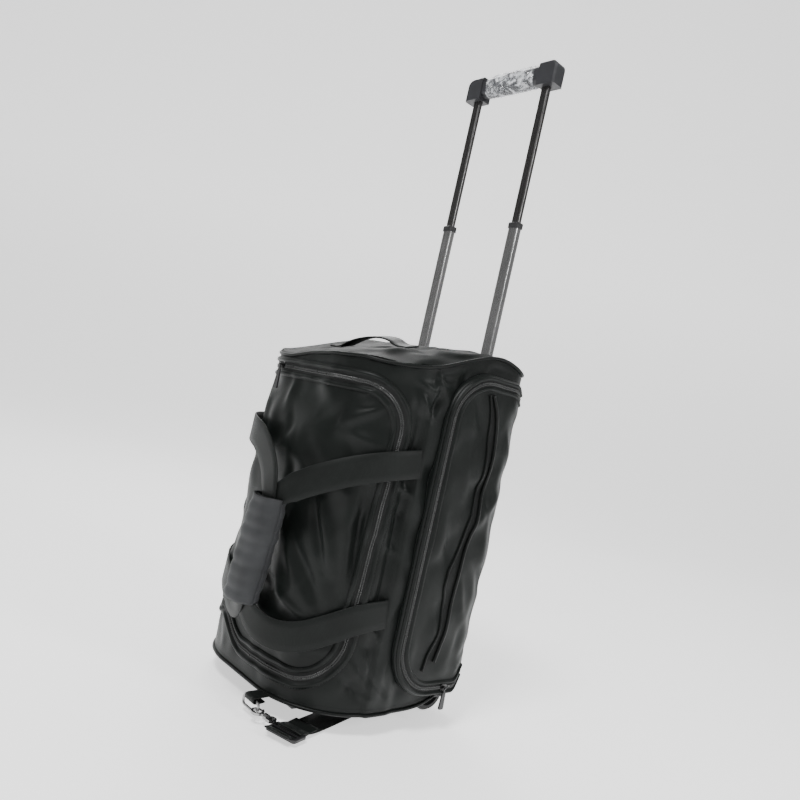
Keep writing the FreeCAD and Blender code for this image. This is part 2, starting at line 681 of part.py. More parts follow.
def ribbon(points, radii, thick):
    """The edge-on outline of a strap that runs straight between points and bends at each one."""
    sides = {1: [], -1: []}
    starts = {1: None, -1: None}
    offset = thick / 2
    directions = [(points[i + 1] - points[i]).normalize() for i in range(len(points) - 1)]
    left = [V(-d.y, d.x, 0) for d in directions]
    for side in (1, -1):
        starts[side] = points[0] + left[0] * (offset * side)
        current = starts[side]
        for i in range(1, len(points) - 1):
            d1, d2 = directions[i - 1], directions[i]
            turn = d1.cross(d2).z
            way = 1 if turn > 0 else -1
            run = radii[i - 1] * math.tan(d1.getAngle(d2) / 2)
            begin, end = points[i] - d1 * run, points[i] + d2 * run
            centre = begin + left[i - 1] * (radii[i - 1] * way)
            radius = radii[i - 1] - offset * side * way
            middle = centre + (points[i] - centre).normalize() * radius
            a, b = begin + left[i - 1] * (offset * side), end + left[i] * (offset * side)
            sides[side].append(line(current, a))
            sides[side].append(Part.Arc(a, middle, b).toShape())
            current = b
        last = points[-1] + left[-1] * (offset * side)
        sides[side].append(line(current, last))
        starts[side] = (starts[side], last)
    caps = [line(starts[1][0], starts[-1][0]), line(starts[1][1], starts[-1][1])]
    return Part.Face(Part.Wire(Part.__sortEdges__(sides[1] + sides[-1] + caps)))


WRAP = V(size("grip_wrap_x"), size("grip_wrap_y"), 0)
CORNER = V(HALF_W - size("front_radius"), FRONT + size("front_radius"), 0)


def tangent_angle(centre, radius, target):
    """Angle round a front corner, from straight ahead, where a strap leaves it for the target."""
    away = target - centre
    return math.atan2(away.x, -away.y) + math.acos(radius / away.Length)


WEB_RADIUS = size("front_radius") + 1.9
WRAP_ANGLE = tangent_angle(CORNER, WEB_RADIUS, WRAP)
WRAP_ALONG = V(math.cos(WRAP_ANGLE), math.sin(WRAP_ANGLE), 0)
WRAP_OUT = V(math.sin(WRAP_ANGLE), -math.cos(WRAP_ANGLE), 0)


def handle_webbing(label, side, target, half_fold):
    """One carry handle: webbing sewn to the gusset, round the front corner, to the hand grip."""
    centre = V(side * CORNER.x, CORNER.y, 0)
    aim = V(side * target.x, target.y, 0)
    angle = tangent_angle(V(CORNER.x, CORNER.y, 0), WEB_RADIUS, aim)
    ahead = V(-side * math.cos(angle), -math.sin(angle), 0)
    leave = centre + V(side * math.sin(angle), -math.cos(angle), 0) * WEB_RADIUS
    bend = (math.pi / 2 - angle) / 2
    vertex = leave - ahead * (WEB_RADIUS * math.tan(bend))
    start = V(side * (HALF_W + 1.9), size("anchor_y") + 12, 0)
    end = target + ahead * (half_fold + 6)
    band = ribbon([start, vertex, end], [WEB_RADIUS], size("webbing")).extrude(V(0, 0, 420))
    half = size("webbing_wide") / 2
    high, low = size("handle_high"), size("handle_low")
    top, bottom = size("wrap_high") + half + 4, size("wrap_low") - half - 4
    chord = (target - start).normalize()
    reach = (target - start).Length
    corners = [
        (-30, high + half), (reach + half_fold, top + half), (reach + half_fold, bottom - half),
        (-30, low - half), (-30, low + half), (reach - half_fold, bottom + half),
        (reach - half_fold, top - half), (-30, high - half)]
    normal = V(chord.y, -chord.x, 0)
    loop = [start + chord * c + UP * z - normal * 150 for c, z in corners]
    prism = Part.Face(polygon(loop)).extrude(normal * 300)
    return feature(label, band.common(prism))


def grip_wrap():
    """The padded cuff that holds the two handles together, open along its far side."""
    wide, deep, skin = size("wrap_wide"), size("wrap_deep"), size("wrap_skin")
    low, high = size("wrap_low"), size("wrap_high")
    outer = box(-wide / 2, wide / 2, -deep / 2, deep / 2, low, high)
    outer = outer.makeFillet(deep / 2 - 1, [e for e in outer.Edges if upright(e)])
    w, d = wide / 2 - skin, deep / 2 - skin
    inner = box(-w, w, -d, d, low - 1, high + 1)
    inner = inner.makeFillet(d - 1, [e for e in inner.Edges if upright(e)])
    mouth = box(-w + 6, -w + 18, 0, deep, low - 1, high + 1)
    cuff = outer.cut(inner).cut(mouth)
    cuff.rotate(V(0, 0, 0), UP, math.degrees(WRAP_ANGLE))
    cuff.translate(WRAP)
    return feature("grip_wrap", cuff)


def top_handle():
    """Webbing grab handle arched over the sloping top end."""
    fall = math.atan((size("back_top") - size("front_top")) / (HALF_D + size("slope_start")))
    route = [V(-86, 1.7, 0), V(-62, 1.7, 0), V(-40, 19, 0), V(40, 19, 0), V(62, 1.7, 0), V(86, 1.7, 0)]
    strip = ribbon(route, [24, 24, 24, 24], 3).extrude(V(0, 0, 25))
    strip = stand_up(strip)
    strip.translate(V(0, 12.5, 0))
    strip.rotate(V(0, 0, 0), V(1, 0, 0), math.degrees(fall))
    y = -30
    z = size("back_top") - (size("slope_start") - y) * math.tan(fall)
    strip.translate(V(0, y, z))
    return feature("top_handle", strip)


# ------------------------------------------------------------------ shoulder strap and hardware

STRAP = V(size("strap_x"), size("strap_y"), 0)
STRAP_TURN = size("strap_turn")


def in_strap_line(shape):
    """Move a shape drawn along +Y, at the slider, onto the strap's line under the bag."""
    shape.rotate(V(0, 0, 0), UP, STRAP_TURN)
    shape.translate(STRAP)
    return shape


def shoulder_strap():
    """Webbing from the slider, flat under the bag and up its back to the upper hook."""
    half = size("webbing_wide") / 2
    low = size("strap_low") + 1
    climb = (HALF_D + 16 - STRAP.y) / math.cos(math.radians(STRAP_TURN))
    route = [V(14, low + 4.5, 0), V(44, low, 0), V(climb, low, 0), V(climb, 462, 0)]
    strip = ribbon(route, [70, 30], size("webbing")).extrude(V(0, 0, 2 * half))
    strip.rotate(V(0, 0, 0), V(1, 1, 1), 120)
    strip.translate(V(-half, 0, 0))
    return feature("shoulder_strap", in_strap_line(strip))


def strap_slider():
    """Three-bar webbing slider."""
    half = size("webbing_wide") / 2
    plate = box(-half - 4.5, half + 4.5, -13, 13, 5, 9)
    plate = plate.makeChamfer(2.4, [e for e in plate.Edges if upright(e)])
    for y in (-9, 2):
        plate = plate.cut(box(-half - 0.5, half + 0.5, y, y + 7, 4, 10))
    plate = plate.makeChamfer(0.8, [e for e in sharp_edges(plate) if abs(e.CenterOfMass.z - 9) < 0.01
                                    and (abs(e.CenterOfMass.x) > half + 4 or abs(e.CenterOfMass.y) > 12)])
    return feature("strap_slider", in_strap_line(plate))


def bar_ring(wide, high, corner, gauge):
    """A closed rectangular ring of eight-sided bar, each corner bent in three short mitres."""
    w, h = wide / 2 - corner, high / 2 - corner
    route = []
    for start, (x, y) in zip((270, 0, 90, 180), ((w, -h), (w, h), (-w, h), (-w, -h))):
        for step in range(4):
            turn = math.radians(start + 30 * step)
            route.append(V(x + corner * math.cos(turn), y + corner * math.sin(turn), 0))
    begin = (route[0] + route[-1]) * 0.5
    path = polygon([begin] + route)
    turns = [math.radians(45 * k + 22.5) for k in range(8)]
    rim = [begin + V(0, gauge / 2 * math.cos(t), gauge / 2 * math.sin(t)) for t in turns]
    mitred = 1
    return stand_up(path.makePipeShell([polygon(rim)], True, False, mitred))


RING = V(size("ring_x"), FRONT - 1.5, 17)
UPPER = V(STRAP.x - math.tan(math.radians(STRAP_TURN)) * (HALF_D + 16 - STRAP.y), HALF_D + 16, 508)


def strap_ring(name, place):
    ring = bar_ring(36, 14, 5, size("ring_gauge"))
    ring.translate(place)
    return feature(name + "_ring", ring)


def lower_tab():
    """Folded webbing under the front rim that holds the lower ring."""
    bar = RING.z + 7
    route = [V(22, bar + 2.7, 0), V(-2.7, bar + 2.7, 0), V(-2.7, bar - 2.7, 0), V(14, bar - 2.7, 0)]
    fold = ribbon(route, [2.6, 2.6], 1.2).extrude(V(0, 0, 22))
    fold.rotate(V(0, 0, 0), V(1, 1, 1), 120)
    fold.translate(V(RING.x - 11, RING.y, 0))
    return feature("lower_ring_tab", fold)


def upper_tab():
    """Folded webbing on the bag's back that holds the upper ring."""
    bar = UPPER.z + 7
    route = [V(HALF_D + 1.1, bar + 14, 0), V(HALF_D + 1.1, bar + 2.7, 0), V(UPPER.y + 2.7, bar + 2.7, 0),
             V(UPPER.y + 2.7, bar - 2.7, 0), V(HALF_D + 0.9, bar - 2.7, 0)]
    fold = ribbon(route, [1.6, 2.6, 2.6], 1.2).extrude(V(0, 0, 22))
    fold.rotate(V(0, 0, 0), V(1, 1, 1), 120)
    fold.translate(V(UPPER.x - 11, 0, 0))
    return feature("upper_ring_tab", fold)


def snap_hook(name, turn, place):
    """Trigger hook drawn along +X from its nose: a hoop with a sprung gate, a swivel and an eye."""
    gauge, hoop = 3.2, 7.4
    ring = Part.makeCylinder(hoop + gauge / 2, gauge, V(0, 0, -gauge / 2))
    ring = ring.cut(Part.makeCylinder(hoop - gauge / 2, 8, V(0, 0, -4)))
    window = box(-4, 4, 0, hoop + 4, -3, 3)
    shank = box(hoop - 1, hoop + 6, -2, 2, -gauge / 2, gauge / 2)
    barrel = Part.makeCylinder(4.2, 6, V(hoop + 6, 0, 0), V(1, 0, 0))
    eye_start = hoop + 12
    eye = box(eye_start, eye_start + 11, -7, 7, -1.7, 1.7)
    eye = eye.makeChamfer(2.4, [e for e in eye.Edges if upright(e)])
    eye = eye.cut(box(eye_start + 3, eye_start + 8, -4, 4, -3, 3))
    body = ring.cut(window).fuse([shank, barrel, eye]).removeSplitter()
    gate = Part.makeCylinder(gauge / 2 - 0.2, 7.2, V(-3.6, hoop, 0), V(1, 0, 0))
    thumb = Part.makeCylinder(1.1, 3.4, V(0.6, hoop, 0), V(0, 1, 0))
    gate = gate.fuse(thumb).removeSplitter()
    for shape, label in ((body, name + "_hook"), (gate, name + "_hook_gate")):
        shape.Placement = FreeCAD.Placement(place, turn)
        feature(label, shape)


# ------------------------------------------------------------------ zip sliders

BRIDGE = 4.8


def zip_slider():
    """A slider drawn flat in the XY plane: a shield, and a bridge along X over its top."""
    base = box(-5.5, 5.5, -4.6, 4.6, 0.3, 2.4)
    base = base.makeFillet(2, [e for e in base.Edges if upright(e)])
    bridge = box(-4.4, 4.4, -0.8, 0.8, 2.2, 5.3).cut(box(-3, 3, -2, 2, 2.4, 4.3))
    return base.fuse(bridge).removeSplitter()


def zip_pull(length):
    """A pull hanging along -Y: an eye round the bridge, a short link and a tapered tab."""
    eye = Part.makeCylinder(2.1, 2.6, V(-1.3, 0, BRIDGE), V(1, 0, 0))
    link = box(-1.3, 1.3, -7, -1.6, BRIDGE - 0.6, BRIDGE + 0.6)
    tab = Part.Face(polygon([V(-3.0, -6.5, 0), V(3.0, -6.5, 0), V(4.6, -length, 0), V(-4.6, -length, 0)]))
    tab = tab.extrude(V(0, 0, 2.2))
    tab.translate(V(0, 0, BRIDGE - 1.1))
    tab = tab.makeFillet(1.5, [e for e in tab.Edges if upright(e) and e.CenterOfMass.y < -length + 0.1])
    pull = tab.fuse([eye, link]).removeSplitter()
    return pull.cut(Part.makeCylinder(1.35, 3, V(-1.5, 0, BRIDGE), V(1, 0, 0)))


def front_slider():
    """Main zip slider at the far end of the band across the top of the flap."""
    z = size("flap_top") + size("zip_width") / 2
    for label, shape in (("main_zip_slider", zip_slider()), ("main_zip_pull", zip_pull(34))):
        stand_up(shape)
        shape.translate(V(size("slider_x"), FRONT, z))
        feature(label, shape)


def side_slider():
    """Pocket slider near the hinge end of the band along the pocket's foot."""
    z = size("pocket_low") - size("pocket_zip") / 2
    for label, shape in (("pocket_zip_slider", zip_slider()), ("pocket_zip_pull", zip_pull(30))):
        stand_up(shape)
        shape.rotate(V(0, 0, 0), UP, 90)
        shape.translate(V(HALF_W + size("pocket_depth"), size("pocket_slider_y"), z))
        feature(label, shape)


# ------------------------------------------------------------------ inside the pull handle

def release_yoke():
    """Cross bar under the button with a push rod down each inner tube."""
    y, z = size("tube_row"), size("inner_head") + 4.6
    reach = size("tube_spacing") / 2
    foot = size("inner_head") - size("inner_length") + 18.5
    bar = box(-reach - 2.2, reach + 2.2, y - 2.2, y + 2.2, z, z + 6)
    rods = [Part.makeCylinder(1.9, z - foot + 1, V(side * reach, y, foot)) for side in (-1, 1)]
    stem = Part.makeCylinder(3, 7.8, V(0, y, z + 5.9))
    return feature("release_yoke", bar.fuse(rods + [stem]).removeSplitter())


def grip_film():
    """Clear protective wrap round the middle of the hand bar, standing off over the button."""
    y, z = size("tube_row"), size("grip_under") + 5
    deep, high = size("grip_deep") / 2 - 1.5 + 0.4, size("grip_height") - 8
    half = 50
    outer = box(-half, half, y - deep - 0.6, y + deep + 0.6, z - 1.0, z + high + 3.9)
    outer = outer.makeFillet(9, [e for e in outer.Edges if abs(e.Length - 2 * half) < 0.01])
    inner = box(-half - 1, half + 1, y - deep, y + deep, z - 0.4, z + high + 3.3)
    inner = inner.makeFillet(8.4, [e for e in inner.Edges if abs(e.Length - 2 * half - 2) < 0.01])
    return feature("grip_film", outer.cut(inner))


# ------------------------------------------------------------------ the whole bag

bag_fabric()
main_zip_tape()
main_flap()
back_board()
pocket_gusset()
pocket_zip_tape()
pocket_flap()
tube_bezel()
tube_foot()
for SIDE, NAME in ((-1, "left"), (1, "right")):
    tube("fixed_tube_" + NAME, "fixed_wide", "fixed_deep", "fixed_wall",
         "Sizes.fixed_head - Sizes.fixed_foot", SIDE, "Sizes.fixed_foot")
    tube("mid_tube_" + NAME, "mid_wide", "mid_deep", "mid_wall",
         "Sizes.mid_length", SIDE, "Sizes.mid_head - Sizes.mid_length")
    tube("inner_tube_" + NAME, "inner_wide", "inner_deep", "inner_wall",
         "Sizes.inner_length", SIDE, "Sizes.inner_head - Sizes.inner_length")
    feature("grip_cap_" + NAME, grip_cap(SIDE))
    wheel(SIDE, NAME)
    wheel_housing(SIDE, NAME)
    stand_foot(SIDE, NAME)
    skid_rail(SIDE, NAME)
mid_collars()
mid_guides()
inner_guides()
grip_core()
grip_film()
release_button()
release_yoke()
handle_webbing("near_handle_webbing", 1, WRAP + WRAP_OUT * 8, 14)
handle_webbing("far_handle_webbing", -1, WRAP - WRAP_OUT * 3, 7)
grip_wrap()
top_handle()
shoulder_strap()
strap_slider()
strap_ring("lower", RING)
strap_ring("upper", UPPER)
lower_tab()
upper_tab()
snap_hook("lower", FreeCAD.Rotation(UP, 12), RING + V(18, 0, -3))
snap_hook("upper", FreeCAD.Rotation(V(0, 1, 0), 90), UPPER + V(0, 0, -7))
front_slider()
side_slider()

doc.recompute()
for item in doc.Objects:
    if any(word in ("Invalid", "Error") for word in item.State):
        raise RuntimeError("%s did not recompute: %s" % (item.Name, item.State))
for item in SUBPARTS:
    if item.Shape.isNull() or not item.Shape.isValid() or item.Shape.Volume <= 0:
        raise RuntimeError("%s has no valid shape" % item.Label)

os.makedirs("parts", exist_ok=True)
for item in SUBPARTS:
    item.Shape.exportStep(os.path.join("parts", item.Label + ".step"))

print("%d sub-parts written" % len(SUBPARTS))
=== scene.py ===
import json
import math
import random

import bpy
import numpy as np
from mathutils import Matrix, Vector, kdtree
from mathutils.geometry import delaunay_2d_cdt


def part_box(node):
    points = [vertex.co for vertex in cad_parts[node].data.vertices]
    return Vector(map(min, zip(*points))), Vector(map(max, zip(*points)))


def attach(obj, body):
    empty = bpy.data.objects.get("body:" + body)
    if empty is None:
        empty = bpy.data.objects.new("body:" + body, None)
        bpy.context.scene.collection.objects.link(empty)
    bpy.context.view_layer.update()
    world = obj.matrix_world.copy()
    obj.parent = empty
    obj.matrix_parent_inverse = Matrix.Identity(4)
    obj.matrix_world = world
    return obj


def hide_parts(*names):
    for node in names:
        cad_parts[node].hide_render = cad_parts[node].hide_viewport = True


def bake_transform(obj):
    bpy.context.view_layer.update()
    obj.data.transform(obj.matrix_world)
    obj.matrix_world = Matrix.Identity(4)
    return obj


# The looks of a wheeled duffel bag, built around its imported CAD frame.
# Cloth is drawn on the bag's unrolled wall: s runs round the section from the front's middle,
# towards the pocket side, and z is the height.  Places are written in millimetres and MM turns
# them into the metres that Blender uses.

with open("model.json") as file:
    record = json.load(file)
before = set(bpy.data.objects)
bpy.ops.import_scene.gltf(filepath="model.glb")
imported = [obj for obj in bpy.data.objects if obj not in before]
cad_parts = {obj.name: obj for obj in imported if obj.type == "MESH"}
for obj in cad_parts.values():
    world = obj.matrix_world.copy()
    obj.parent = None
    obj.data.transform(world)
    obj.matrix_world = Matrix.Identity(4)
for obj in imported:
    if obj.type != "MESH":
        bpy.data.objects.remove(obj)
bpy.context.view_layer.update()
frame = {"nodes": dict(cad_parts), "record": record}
MM = 0.001
random.seed(7)

# ---- measures from the frame

wall_low, wall_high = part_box("bag_shell")
back_low, back_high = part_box("bag_back_panel")
tape_low, tape_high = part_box("main_zip_tape")
panel_low, panel_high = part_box("main_flap")
MID = np.array([(wall_low.x + wall_high.x) / 2, (wall_low.y + back_high.y) / 2])
HALF_W = (wall_high.x - wall_low.x) / 2
HALF_D = (back_high.y - wall_low.y) / 2
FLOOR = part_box("bag_base_end")[0].z
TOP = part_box("bag_top_end")[1].z
FRONT_R = 110 * MM
BACK_R = 32 * MM
FLAT = HALF_W - FRONT_R
SIDE_RUN = 2 * HALF_D - FRONT_R - BACK_R
S_SIDE = FLAT + FRONT_R * math.pi / 2
S_CORNER = S_SIDE + SIDE_RUN + BACK_R * math.pi / 4
S_BACK = S_SIDE + SIDE_RUN + BACK_R * math.pi / 2 + HALF_W - BACK_R
SLOPE_START = 60 * MM
SLOPE = math.atan(58 / 210)
CREASE_R = 150 * MM
HEAD_SAG = 15 * MM
FOOT_LIFT = 48 * MM
BELLY = 9 * MM
GUSSET_STEP = 3.2 * MM
CLOTH_THICK, THIN_CLOTH, CUFF_THICK = 1.2 * MM, 1.0 * MM, 4 * MM


def round_at(x):
    """Distance round the front for a place x across the bag, from its middle."""
    side = -1 if x < 0 else 1
    return side * (FLAT + FRONT_R * math.asin(min(1, (abs(x) - FLAT) / FRONT_R)))


BAND = (tape_high.z - panel_high.z) / 2
COIL_TOP = tape_high.z - BAND
COIL_LOW = tape_low.z + BAND
COIL_NEAR = (round_at(tape_high.x - MID[0]) + round_at(panel_high.x - MID[0])) / 2 - 3 * MM
HINGE = round_at(panel_low.x - MID[0])
COIL_R = 62 * MM
SEAM = 203 * MM


# ---- the bag's form

def section(s):
    """Plan place and outward normal on the D-shaped section, s round from the front's middle."""
    side = np.where(s < 0, -1.0, 1.0)
    a = np.abs(s)
    turn = np.clip((a - FLAT) / FRONT_R, 0, math.pi / 2)
    after = a - S_SIDE
    corner = np.clip((after - SIDE_RUN) / BACK_R, 0, math.pi / 2)
    rest = np.maximum(after - SIDE_RUN - BACK_R * math.pi / 2, 0)
    x = np.minimum(a, FLAT) + FRONT_R * np.sin(turn) - BACK_R * (1 - np.cos(corner)) - rest
    y = FRONT_R * (1 - np.cos(turn)) - HALF_D + np.clip(after, 0, SIDE_RUN) + BACK_R * np.sin(corner)
    angle = turn + corner
    return side * x, y, side * np.sin(angle), -np.cos(angle)


def ease(t):
    """0 to 1, flat at both ends."""
    t = np.clip(t, 0, 1)
    return t * t * (3 - 2 * t)


def corner_hump(x, y, reach):
    """1 at the two back corners of the plan, falling to 0 over the given reach."""
    return np.exp(-((np.abs(x) - HALF_W) ** 2 + (y - HALF_D) ** 2) / reach ** 2)


RIM_X = np.array([-155, -45, 0, 55, 97, 134, 155]) * MM
RIM_RISE = np.array([-7, -4, 4, 9, 8, -2, -8]) * MM


def top_height(x, y):
    """Height of the soft top end: the CAD slope, sagging at the far corner and full at the near one."""
    straight = TOP - (SLOPE_START - y) * math.tan(SLOPE)
    run = CREASE_R * math.tan(SLOPE / 2)
    bend_y = SLOPE_START + run
    over = np.sqrt(np.maximum(CREASE_R ** 2 - (y - bend_y) ** 2, 0)) + TOP - CREASE_R
    z = np.where(y > bend_y, TOP, np.where(y < SLOPE_START - run * math.cos(SLOPE), straight, over))
    rise = np.interp(x, RIM_X, RIM_RISE) * ease((50 * MM - y) / (120 * MM))
    return z + rise - HEAD_SAG * corner_hump(x, y, 38 * MM) - 1.2 * MM


def base_height(x, y):
    """Height of the foot end, lifted at the two back corners."""
    return FLOOR + 1.0 * MM + FOOT_LIFT * corner_hump(x, y, 55 * MM)


def rim_heights(s):
    """Heights of the wall's top and bottom rims."""
    x, y, _, _ = section(s)
    return top_height(x, y), base_height(x, y)


# Folds in the cloth: from (s, z) to (s, z), width and height, in millimetres.
FLAP_FOLDS = [
    (96, 396, 150, 436, 7, 2.6), (112, 440, 138, 452, 4, 1.8), (92, 384, 150, 377, 8, 1.6),
    (110, 418, 140, 428, 4, -1.2), (78, 294, 110, 205, 5, -3.0), (90, 290, 122, 205, 7, 3.2),
    (62, 234, 114, 158, 9, -4.2), (46, 244, 84, 172, 9, 2.6), (120, 305, 144, 182, 8, 3.0),
    (140, 322, 147, 175, 6, -5.5), (38, 174, 100, 138, 6, 2.6), (4, 180, 60, 164, 6, -2.6),
    (8, 132, 72, 122, 9, 2.4), (-20, 122, 40, 96, 11, 2.6), (20, 446, 120, 447, 5, -1.8),
    (0, 352, 60, 330, 14, 2.2), (-100, 430, -60, 330, 10, 3.0), (-122, 300, -70, 200, 9, -3.0),
    (-112, 200, -60, 110, 9, 3.0), (-60, 400, -20, 300, 12, 1.8), (-128, 420, -118, 180, 8, -3.0),
    (20, 300, 44, 214, 8, 2.0), (-40, 250, 10, 190, 10, 2.4), (60, 96, 140, 106, 8, 2.2),
]
WALL_FOLDS = [
    (194, 425, 195, 118, 9, -6.5), (186, 456, 205, 426, 5, 3.4), (178, 470, 210, 458, 5, 2.8),
    (205, 488, 218, 462, 4, 4.0), (200, 477, 232, 480, 5, -3.2), (214, 468, 207, 425, 5, -5.0),
    (222, 470, 236, 430, 7, 2.4), (170, 96, 198, 64, 4, 2.8), (186, 112, 197, 80, 4, 2.8),
    (165, 74, 196, 50, 5, -3.2), (180, 60, 215, 44, 4, 2.2), (196, 84, 236, 52, 4, -2.2),
    (186, 330, 202, 322, 4, 3.0), (186, 300, 200, 290, 5, -2.0), (184, 250, 200, 244, 4, 1.8),
    (187, 146, 203, 126, 4, 2.6), (-190, 430, -230, 300, 10, -3.0), (-240, 250, -330, 200, 12, 3.0),
    (-200, 120, -290, 70, 10, 2.6), (-260, 440, -350, 420, 10, -2.4), (-210, 200, -206, 80, 8, -3.0),
    (300, 516, 370, 512, 6, -2.0), (-300, 330, -372, 240, 14, 2.6), (-180, 380, -176, 150, 6, -4.0),
]
WAVES = [(random.uniform(0, math.tau), random.uniform(55, 130) * MM, random.uniform(0, math.tau))
         for _ in range(9)]


def folds(s, z, strokes):
    """Soft ridges and creases, each a stroke that fades at its ends."""
    total = np.zeros_like(s)
    for s0, z0, s1, z1, wide, high in strokes:
        ds, dz = (s1 - s0) * MM, (z1 - z0) * MM
        t = np.clip(((s - s0 * MM) * ds + (z - z0 * MM) * dz) / (ds * ds + dz * dz), 0, 1)
        away = np.hypot(s - s0 * MM - t * ds, z - z0 * MM - t * dz)
        fade = 0.35 + 0.65 * np.sin(math.pi * np.clip(t, 0.02, 0.98))
        total += high * MM * fade * np.exp(-(away / (wide * MM)) ** 2)
    return total


def ripple(u, v, high):
    """Broad uneven cloth, a sum of slanting waves that bend each other."""
    total, bend = np.zeros_like(u), np.zeros_like(u)
    for heading, length, phase in WAVES:
        along = u * math.cos(heading) + v * math.sin(heading)
        wave = np.sin(along * math.tau / length + phase + bend)
        bend = 0.9 * wave
        total += wave
    return total * high / len(WAVES)


def relief(s, z):
    """How far the cloth stands off the CAD wall."""
    top, low = rim_heights(s)
    hem = ease((top - z) / (30 * MM)) * ease((z - low) / (30 * MM))
    near_back = ease((np.abs(s) - S_CORNER) / (40 * MM))
    soft = ripple(s, z, 6 * MM) * (1 - 0.7 * near_back)
    gusset = GUSSET_STEP * ease((s - SEAM + 1.5 * MM) / (3 * MM)) * ease((S_SIDE + 40 * MM - s) / (20 * MM))
    creases = 1.45 * (folds(s, z, WALL_FOLDS) + folds(s, z, FLAP_FOLDS))
    belly = BELLY * ease((170 * MM - np.abs(s - 8 * MM)) / (150 * MM)) * ease((z - 62 * MM) / (120 * MM))
    belly = belly * ease((456 * MM - z) / (130 * MM))
    return hem * (soft + creases + belly) + gusset * ease((top - z) / (12 * MM))


def leaf(s, z, lift):
    """Points off the CAD wall along its normal, without the cloth's relief."""
    x, y, nx, ny = section(np.asarray(s, float))
    return np.stack([MID[0] + x + nx * lift, MID[1] + y + ny * lift, z + 0 * x], axis=-1)


def wall(s, z, lift=0.0):
    """Points on the outside of the bag's wall, lifted off its cloth."""
    return leaf(s, z, relief(s, z) + lift)


def front_place(u, v):
    """Where the flap's own drawing lands: its near leg leans and its far foot curls up."""
    near = ease(u / (150 * MM))
    far_foot = ease((-u - 5 * MM) / (70 * MM)) * ease((260 * MM - v) / (200 * MM))
    return u + near * 0.04 * (v - 265 * MM), v + 34 * MM * far_foot


def front(u, v, lift):
    """The flap's drawing laid on the wall."""
    s, z = front_place(u, v)
    return wall(s, z, lift)


# ---- lines and outlines

def unit(v):
    """The vector at length 1."""
    return v / np.linalg.norm(v)


def distance_along(route):
    """Distance from the start of a route to each of its points."""
    return np.concatenate([[0], np.cumsum(np.linalg.norm(np.diff(route, axis=0), axis=1))])


def units(rows):
    """Each row of vectors at length 1."""
    return rows / np.linalg.norm(rows, axis=1)[:, None]


def heading(route):
    """Unit direction of travel at each point of a route."""
    return units(np.gradient(route, axis=0))


def resample(route, step):
    """The same route with points evenly spaced, about step apart."""
    route = np.asarray(route, float)
    reach = distance_along(route)
    count = max(2, int(round(reach[-1] / step)) + 1)
    places = np.linspace(0, reach[-1], count)
    return np.stack([np.interp(places, reach, route[:, k]) for k in range(route.shape[1])], axis=1)


def filleted(corners, radius, step):
    """Straight runs between corners, each inner corner rounded to the radius."""
    corners = [np.array(c, float) for c in corners]
    route = [corners[0]]
    for before, corner, after in zip(corners, corners[1:], corners[2:]):
        a, b = unit(before - corner), unit(after - corner)
        half = math.acos(float(np.clip(a @ b, -1, 1))) / 2
        centre = corner + unit(a + b) * radius / math.sin(half)
        start = a * radius / math.tan(half) + corner - centre
        end = b * radius / math.tan(half) + corner - centre
        turn = math.atan2(start[0] * end[1] - start[1] * end[0], float(start @ end))
        begin = math.atan2(start[1], start[0])
        for k in range(17):
            angle = begin + turn * k / 16
            route.append(centre + radius * np.array([math.cos(angle), math.sin(angle)]))
    route.append(corners[-1])
    return resample(route, step)


def left_of(route):
    """Unit normals on the left of a flat route."""
    along = heading(route)
    return np.stack([-along[:, 1], along[:, 0]], axis=1)


def beside(route, gap):
    """The route moved to its left by a gap."""
    return route + left_of(route) * gap


def curve_through(points, step):
    """A smooth line that starts and ends at the first and last points (a quadratic B-spline)."""
    points = np.asarray(points, float)
    mids = (points[:-1] + points[1:]) / 2
    line = [points[0]]
    for k in range(1, len(points) - 1):
        a, b = mids[k - 1], mids[k]
        for t in np.linspace(0, 1, 12):
            line.append((1 - t) ** 2 * a + 2 * t * (1 - t) * points[k] + t * t * b)
    line.append(points[-1])
    return resample(line, step)


def inside(points, loop):
    """True for the points inside a closed loop."""
    hit = np.zeros(len(points), bool)
    x, y = points[:, 0], points[:, 1]
    for (x0, y0), (x1, y1) in zip(loop, np.roll(loop, -1, axis=0)):
        if y0 == y1:
            continue
        spans = (y0 > y) != (y1 > y)
        hit ^= spans & (x < (x1 - x0) * (y - y0) / (y1 - y0) + x0)
    return hit


# ---- mesh makers

def make_mesh(name, points, faces, materials, uv=None, face_slots=None):
    """A smooth-shaded mesh object in the row frame, with its cloth coordinates in metres."""
    mesh = bpy.data.meshes.new(name)
    mesh.from_pydata([tuple(map(float, p)) for p in points], [], faces)
    for material in materials:
        mesh.materials.append(material)
    mesh.shade_smooth()
    if face_slots is not None:
        mesh.polygons.foreach_set("material_index", face_slots)
    if uv is not None:
        layer = mesh.uv_layers.new(name="cloth")
        corners = np.zeros(len(mesh.loops), np.int32)
        mesh.loops.foreach_get("vertex_index", corners)
        layer.data.foreach_set("uv", np.asarray(uv, np.float32)[corners].ravel())
    mesh.update()
    made = bpy.data.objects.new(name, mesh)
    bpy.context.scene.collection.objects.link(made)
    return made


def grid_faces(rows, count, flip=False, wrap=False, closed=False):
    """Quads between rows of points; wrap joins each row's ends, closed joins the last row to the first."""
    faces = []
    for i in range(rows if closed else rows - 1):
        for k in range(count if wrap else count - 1):
            a, b, n = i * count, (i + 1) % rows * count, (k + 1) % count
            faces.append((a + k, b + k, b + n, a + n) if flip else (a + k, a + n, b + n, b + k))
    return faces


def in_sheet(points, loops):
    """True for the points inside the first loop and outside its holes."""
    keep = inside(points, loops[0])
    for hole in loops[1:]:
        keep &= ~inside(points, hole)
    return keep


